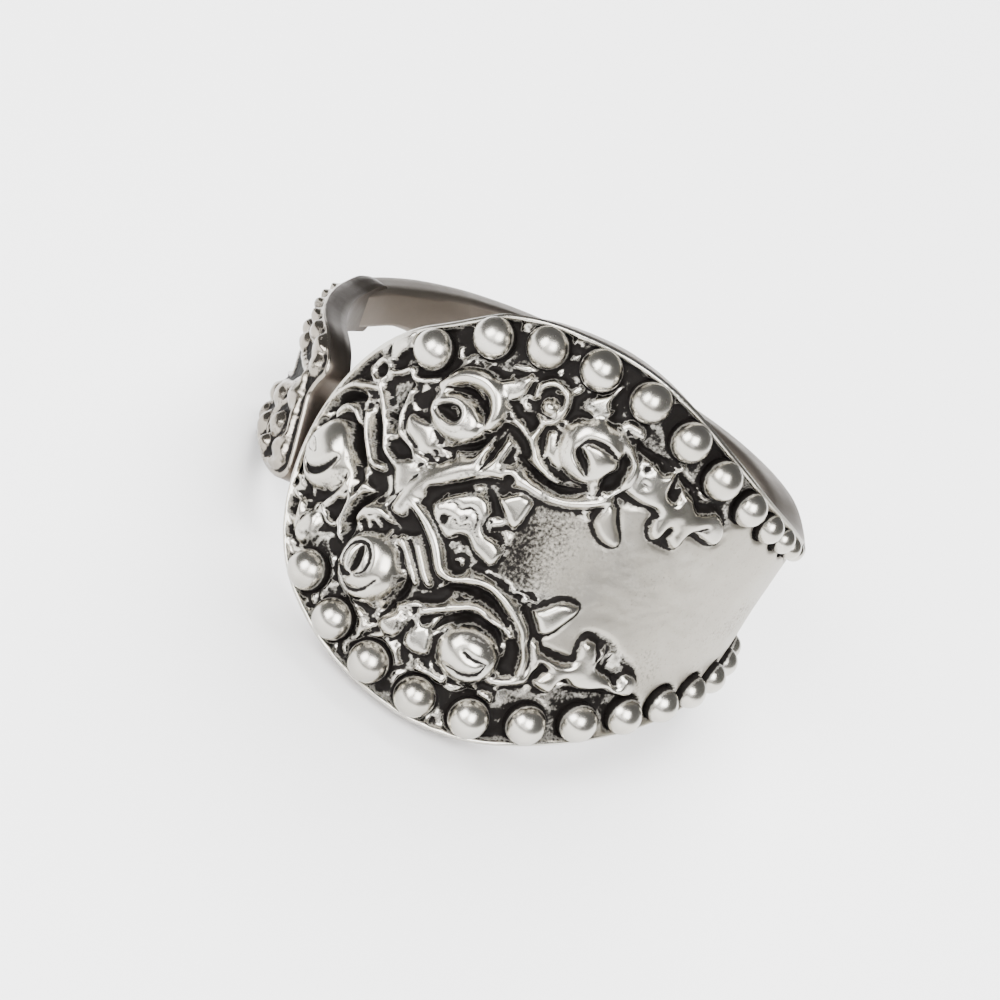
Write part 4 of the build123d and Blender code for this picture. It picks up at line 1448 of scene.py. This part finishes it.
@dataclass
class Tail:
    """The small leaf-shaped end of the strip, with its domes carved on it."""

    columns: int = 140
    rows: int = 160
    wall_rows: int = 3
    edge_drop: float = 0.12
    end_gap: float = 0.004
    bunching: float = 0.45                   # how far the rows crowd towards both ends
    # only warms and darkens the tail's colour: painted shade
    satin_and_shade: float = 1.5

    @staticmethod
    def span(outline: np.ndarray, height: float) -> tuple[float, float]:
        """First and last turn of the tail at one height.

        Args:
            outline: points of its outline, in mm.
            height: height in mm.

        Returns:
            The two turns, in degrees.
        """
        turns, heights = outline[:, 0] / DEGREE, outline[:, 1]
        crossings = []
        for k in range(len(turns)):
            a, b = heights[k - 1], heights[k]
            if (a - height) * (b - height) <= 0 and a != b:
                crossings.append(turns[k - 1] + (turns[k] - turns[k - 1]) * (height - a) / (b - a))
        return (min(crossings), max(crossings)) if crossings else (TAIL_TURN, TAIL_TURN)

    def build(self, face: Face, outside: bpy.types.Material, inner: bpy.types.Material) -> bpy.types.Object:
        """Makes the carved leaf.

        Args:
            face: the carved face of the tail.
            outside: finish of the carved side.
            inner: finish of the finger side.

        Returns:
            The piece.
        """
        outline = tail_line(8)
        low, high = outline[:, 1].min() + self.end_gap, outline[:, 1].max() - self.end_gap
        swing = np.linspace(0, math.pi, self.rows + 1)
        even = np.linspace(0, 1, self.rows + 1)
        heights = low + (high - low) * ((1 - self.bunching) * even + self.bunching * (1 - np.cos(swing)) / 2)
        spans = np.array([self.span(outline, height) for height in heights])
        mesh, column, row = grid(2 * self.columns + 2 * self.wall_rows, self.rows)
        wall, back, fall = wall_shares(column, self.columns, self.wall_rows, self.columns)
        out = np.clip(column / self.columns, 0, 1)
        first, last = spans[row].T
        height = heights[row]
        turn = np.where(wall, last + back * (first - last), first + out * (last - first))
        relief, black = (face.read(values, turn, height) for values in (face.relief, face.black))
        outer = TAIL_FACE + TAIL_FLARE * height
        edge = TAIL_WALL - self.edge_drop - SUNK * (1 - ramp(turn, *TAIL_SUNK))
        radius = np.where(wall, outer - TAIL_WALL + edge * fall, outer + relief)
        place(mesh, LYING.points(turn, radius, height), np.where(wall, 0.0, black), np.full(len(turn), self.satin_and_shade))
        close_wall(mesh, column, self.columns)
        return finish_piece(mesh, "tail_leaf", [outside, inner])


# ---------------------------------------------------------------------------- stage
@dataclass
class Studio:
    """Floor, soft light and camera."""

    floor_size: float = 1.2
    lens: float = 90.0
    sensor: float = 36.0
    shift: tuple[float, float] = (-0.0499, -0.0599)
    distance: float = 0.09408
    towards: tuple[float, float, float] = (-0.0225, -0.8433, 0.5370)
    right: tuple[float, float, float] = (0.8243, 0.2887, 0.4872)
    upward: tuple[float, float, float] = (-0.5653, 0.4536, 0.6885)
    sky: float = 1.15
    ring_middle: float = 0.006               # height that the lights are aimed at
    room: tuple = ((0.0, (0.28, 0.28, 0.28)), (0.35, (0.21, 0.21, 0.21)), (1.0, (0.15, 0.15, 0.155)))

    def floor(self) -> None:
        """Lays the floor under the ring."""
        mesh = bmesh.new()
        bmesh.ops.create_grid(mesh, x_segments=8, y_segments=8, size=self.floor_size / 2)
        add_object("floor", solid_mesh(mesh, "floor", [FloorPaint().build()]))

    def camera(self) -> None:
        """Sets the camera at the photograph's angle."""
        data = bpy.data.cameras.new("camera")
        data.lens = self.lens
        data.sensor_width = self.sensor
        data.shift_x, data.shift_y = self.shift
        data.clip_start, data.clip_end = 0.005, 10
        camera = add_object("camera", data)
        turned = Matrix([self.right, self.upward, self.towards]).transposed().to_4x4()
        origin = Vector(LYING.shift) * MM + Vector(self.towards).normalized() * self.distance
        camera.matrix_world = Matrix.Translation(origin) @ turned
        bpy.context.scene.camera = camera

    def soft_box(self, name: str, upright: tuple[float, float, float], distance: float, size: tuple[float, float],
                 power: float, mirrored: bool = True) -> None:
        """Hangs one soft box that faces the ring.

        Args:
            name: the light's name.
            upright: its direction from the upright ring, as right, towards the camera and up.
            distance: distance from the ring, in metres.
            size: width and height, in metres.
            power: power in watts.
            mirrored: whether it shows in the metal.
        """
        data = bpy.data.lights.new(name, "AREA")
        data.shape = "RECTANGLE"
        data.size, data.size_y = size
        data.energy = power
        light = add_object(name, data)
        across, near, above = upright
        direction = LYING.direction(Vector((across, -near, above)))
        light.matrix_world = (Matrix.Translation(direction * distance + Vector((0, 0, self.ring_middle)))
                              @ direction.to_track_quat("Z", "Y").to_matrix().to_4x4())
        light.visible_glossy = mirrored

    def lights(self) -> None:
        """Hangs the soft boxes and brightens the room."""
        self.soft_box("left_box", (-0.5, 0.8, 0.34), 0.3, (0.17, 0.19), 1.35)
        self.soft_box("right_box", (0.3, 0.86, 0.4), 0.3, (0.17, 0.19), 1.35)
        self.soft_box("front_box", (-0.05, 0.95, 0.25), 0.5, (0.7, 0.5), 2.4)
        self.soft_box("top_box", (0.1, -0.3, 1.0), 0.5, (0.5, 0.5), 12.0, mirrored=False)
        world = bpy.data.worlds.new("room")
        bpy.context.scene.world = world
        world.use_nodes = True
        wires = Wiring(world.node_tree)
        background = next(n for n in world.node_tree.nodes if n.type == "BACKGROUND")
        shades = wires.node("ShaderNodeValToRGB")
        stops = shades.color_ramp.elements
        stops.new(self.room[1][0])
        for stop, (position, colour) in zip(stops, self.room):
            stop.position, stop.color = position, (*colour, 1)
        spread = wires.node("ShaderNodeSeparateXYZ")
        wires.join(wires.node("ShaderNodeTexCoord").outputs["Generated"], spread.inputs[0])
        wires.join(spread.outputs["Z"], shades.inputs[0])
        wires.join(shades.outputs[0], background.inputs["Color"])
        background.inputs["Strength"].default_value = self.sky


def main() -> None:
    """Builds the ring piece by piece and sets the stage."""
    logging.basicConfig(level=logging.INFO, format="%(name)s: %(message)s")
    studio = Studio()
    studio.camera()
    groups = {"black_film": black_film(), "wear_marks": wear_marks()}
    carved = Silver("carved_silver").build(groups)
    # The finger side and the edges get a darker, browner copy of the silver: painted shade for the inside of the ring.
    inner = Silver("inner_silver", (0.31, 0.27, 0.235), (0.22, 0.19, 0.16), polish=0.45, satin_and_shade=0.0, hollow=0.0,
                   tear=0.5).build(groups)
    beads = Silver("bead_silver", polish=0.25, tear=0.6, dents=2.0, bump=0.000003).build(groups)
    # The tail and its edges get darker copies of the silver: painted shade for the tail turned away round the ring's
    # side.
    tail = Silver("tail_silver", (0.36, 0.335, 0.295), (0.25, 0.225, 0.19), polish=0.2, satin_and_shade=0.0).build(groups)
    tail_inner = Silver("tail_inner_silver", (0.17, 0.145, 0.122), (0.11, 0.093, 0.078), polish=0.42, satin_and_shade=0.0,
                        hollow=0.0, tear=0.5).build(groups)
    carver = Carver()
    WoundStrip().build(carver.shield(), carved, inner)
    BorderBeads().build(beads)
    Tail().build(carver.tail(), tail, tail_inner)
    studio.floor()
    studio.lights()


if __name__ == "__main__":
    main()
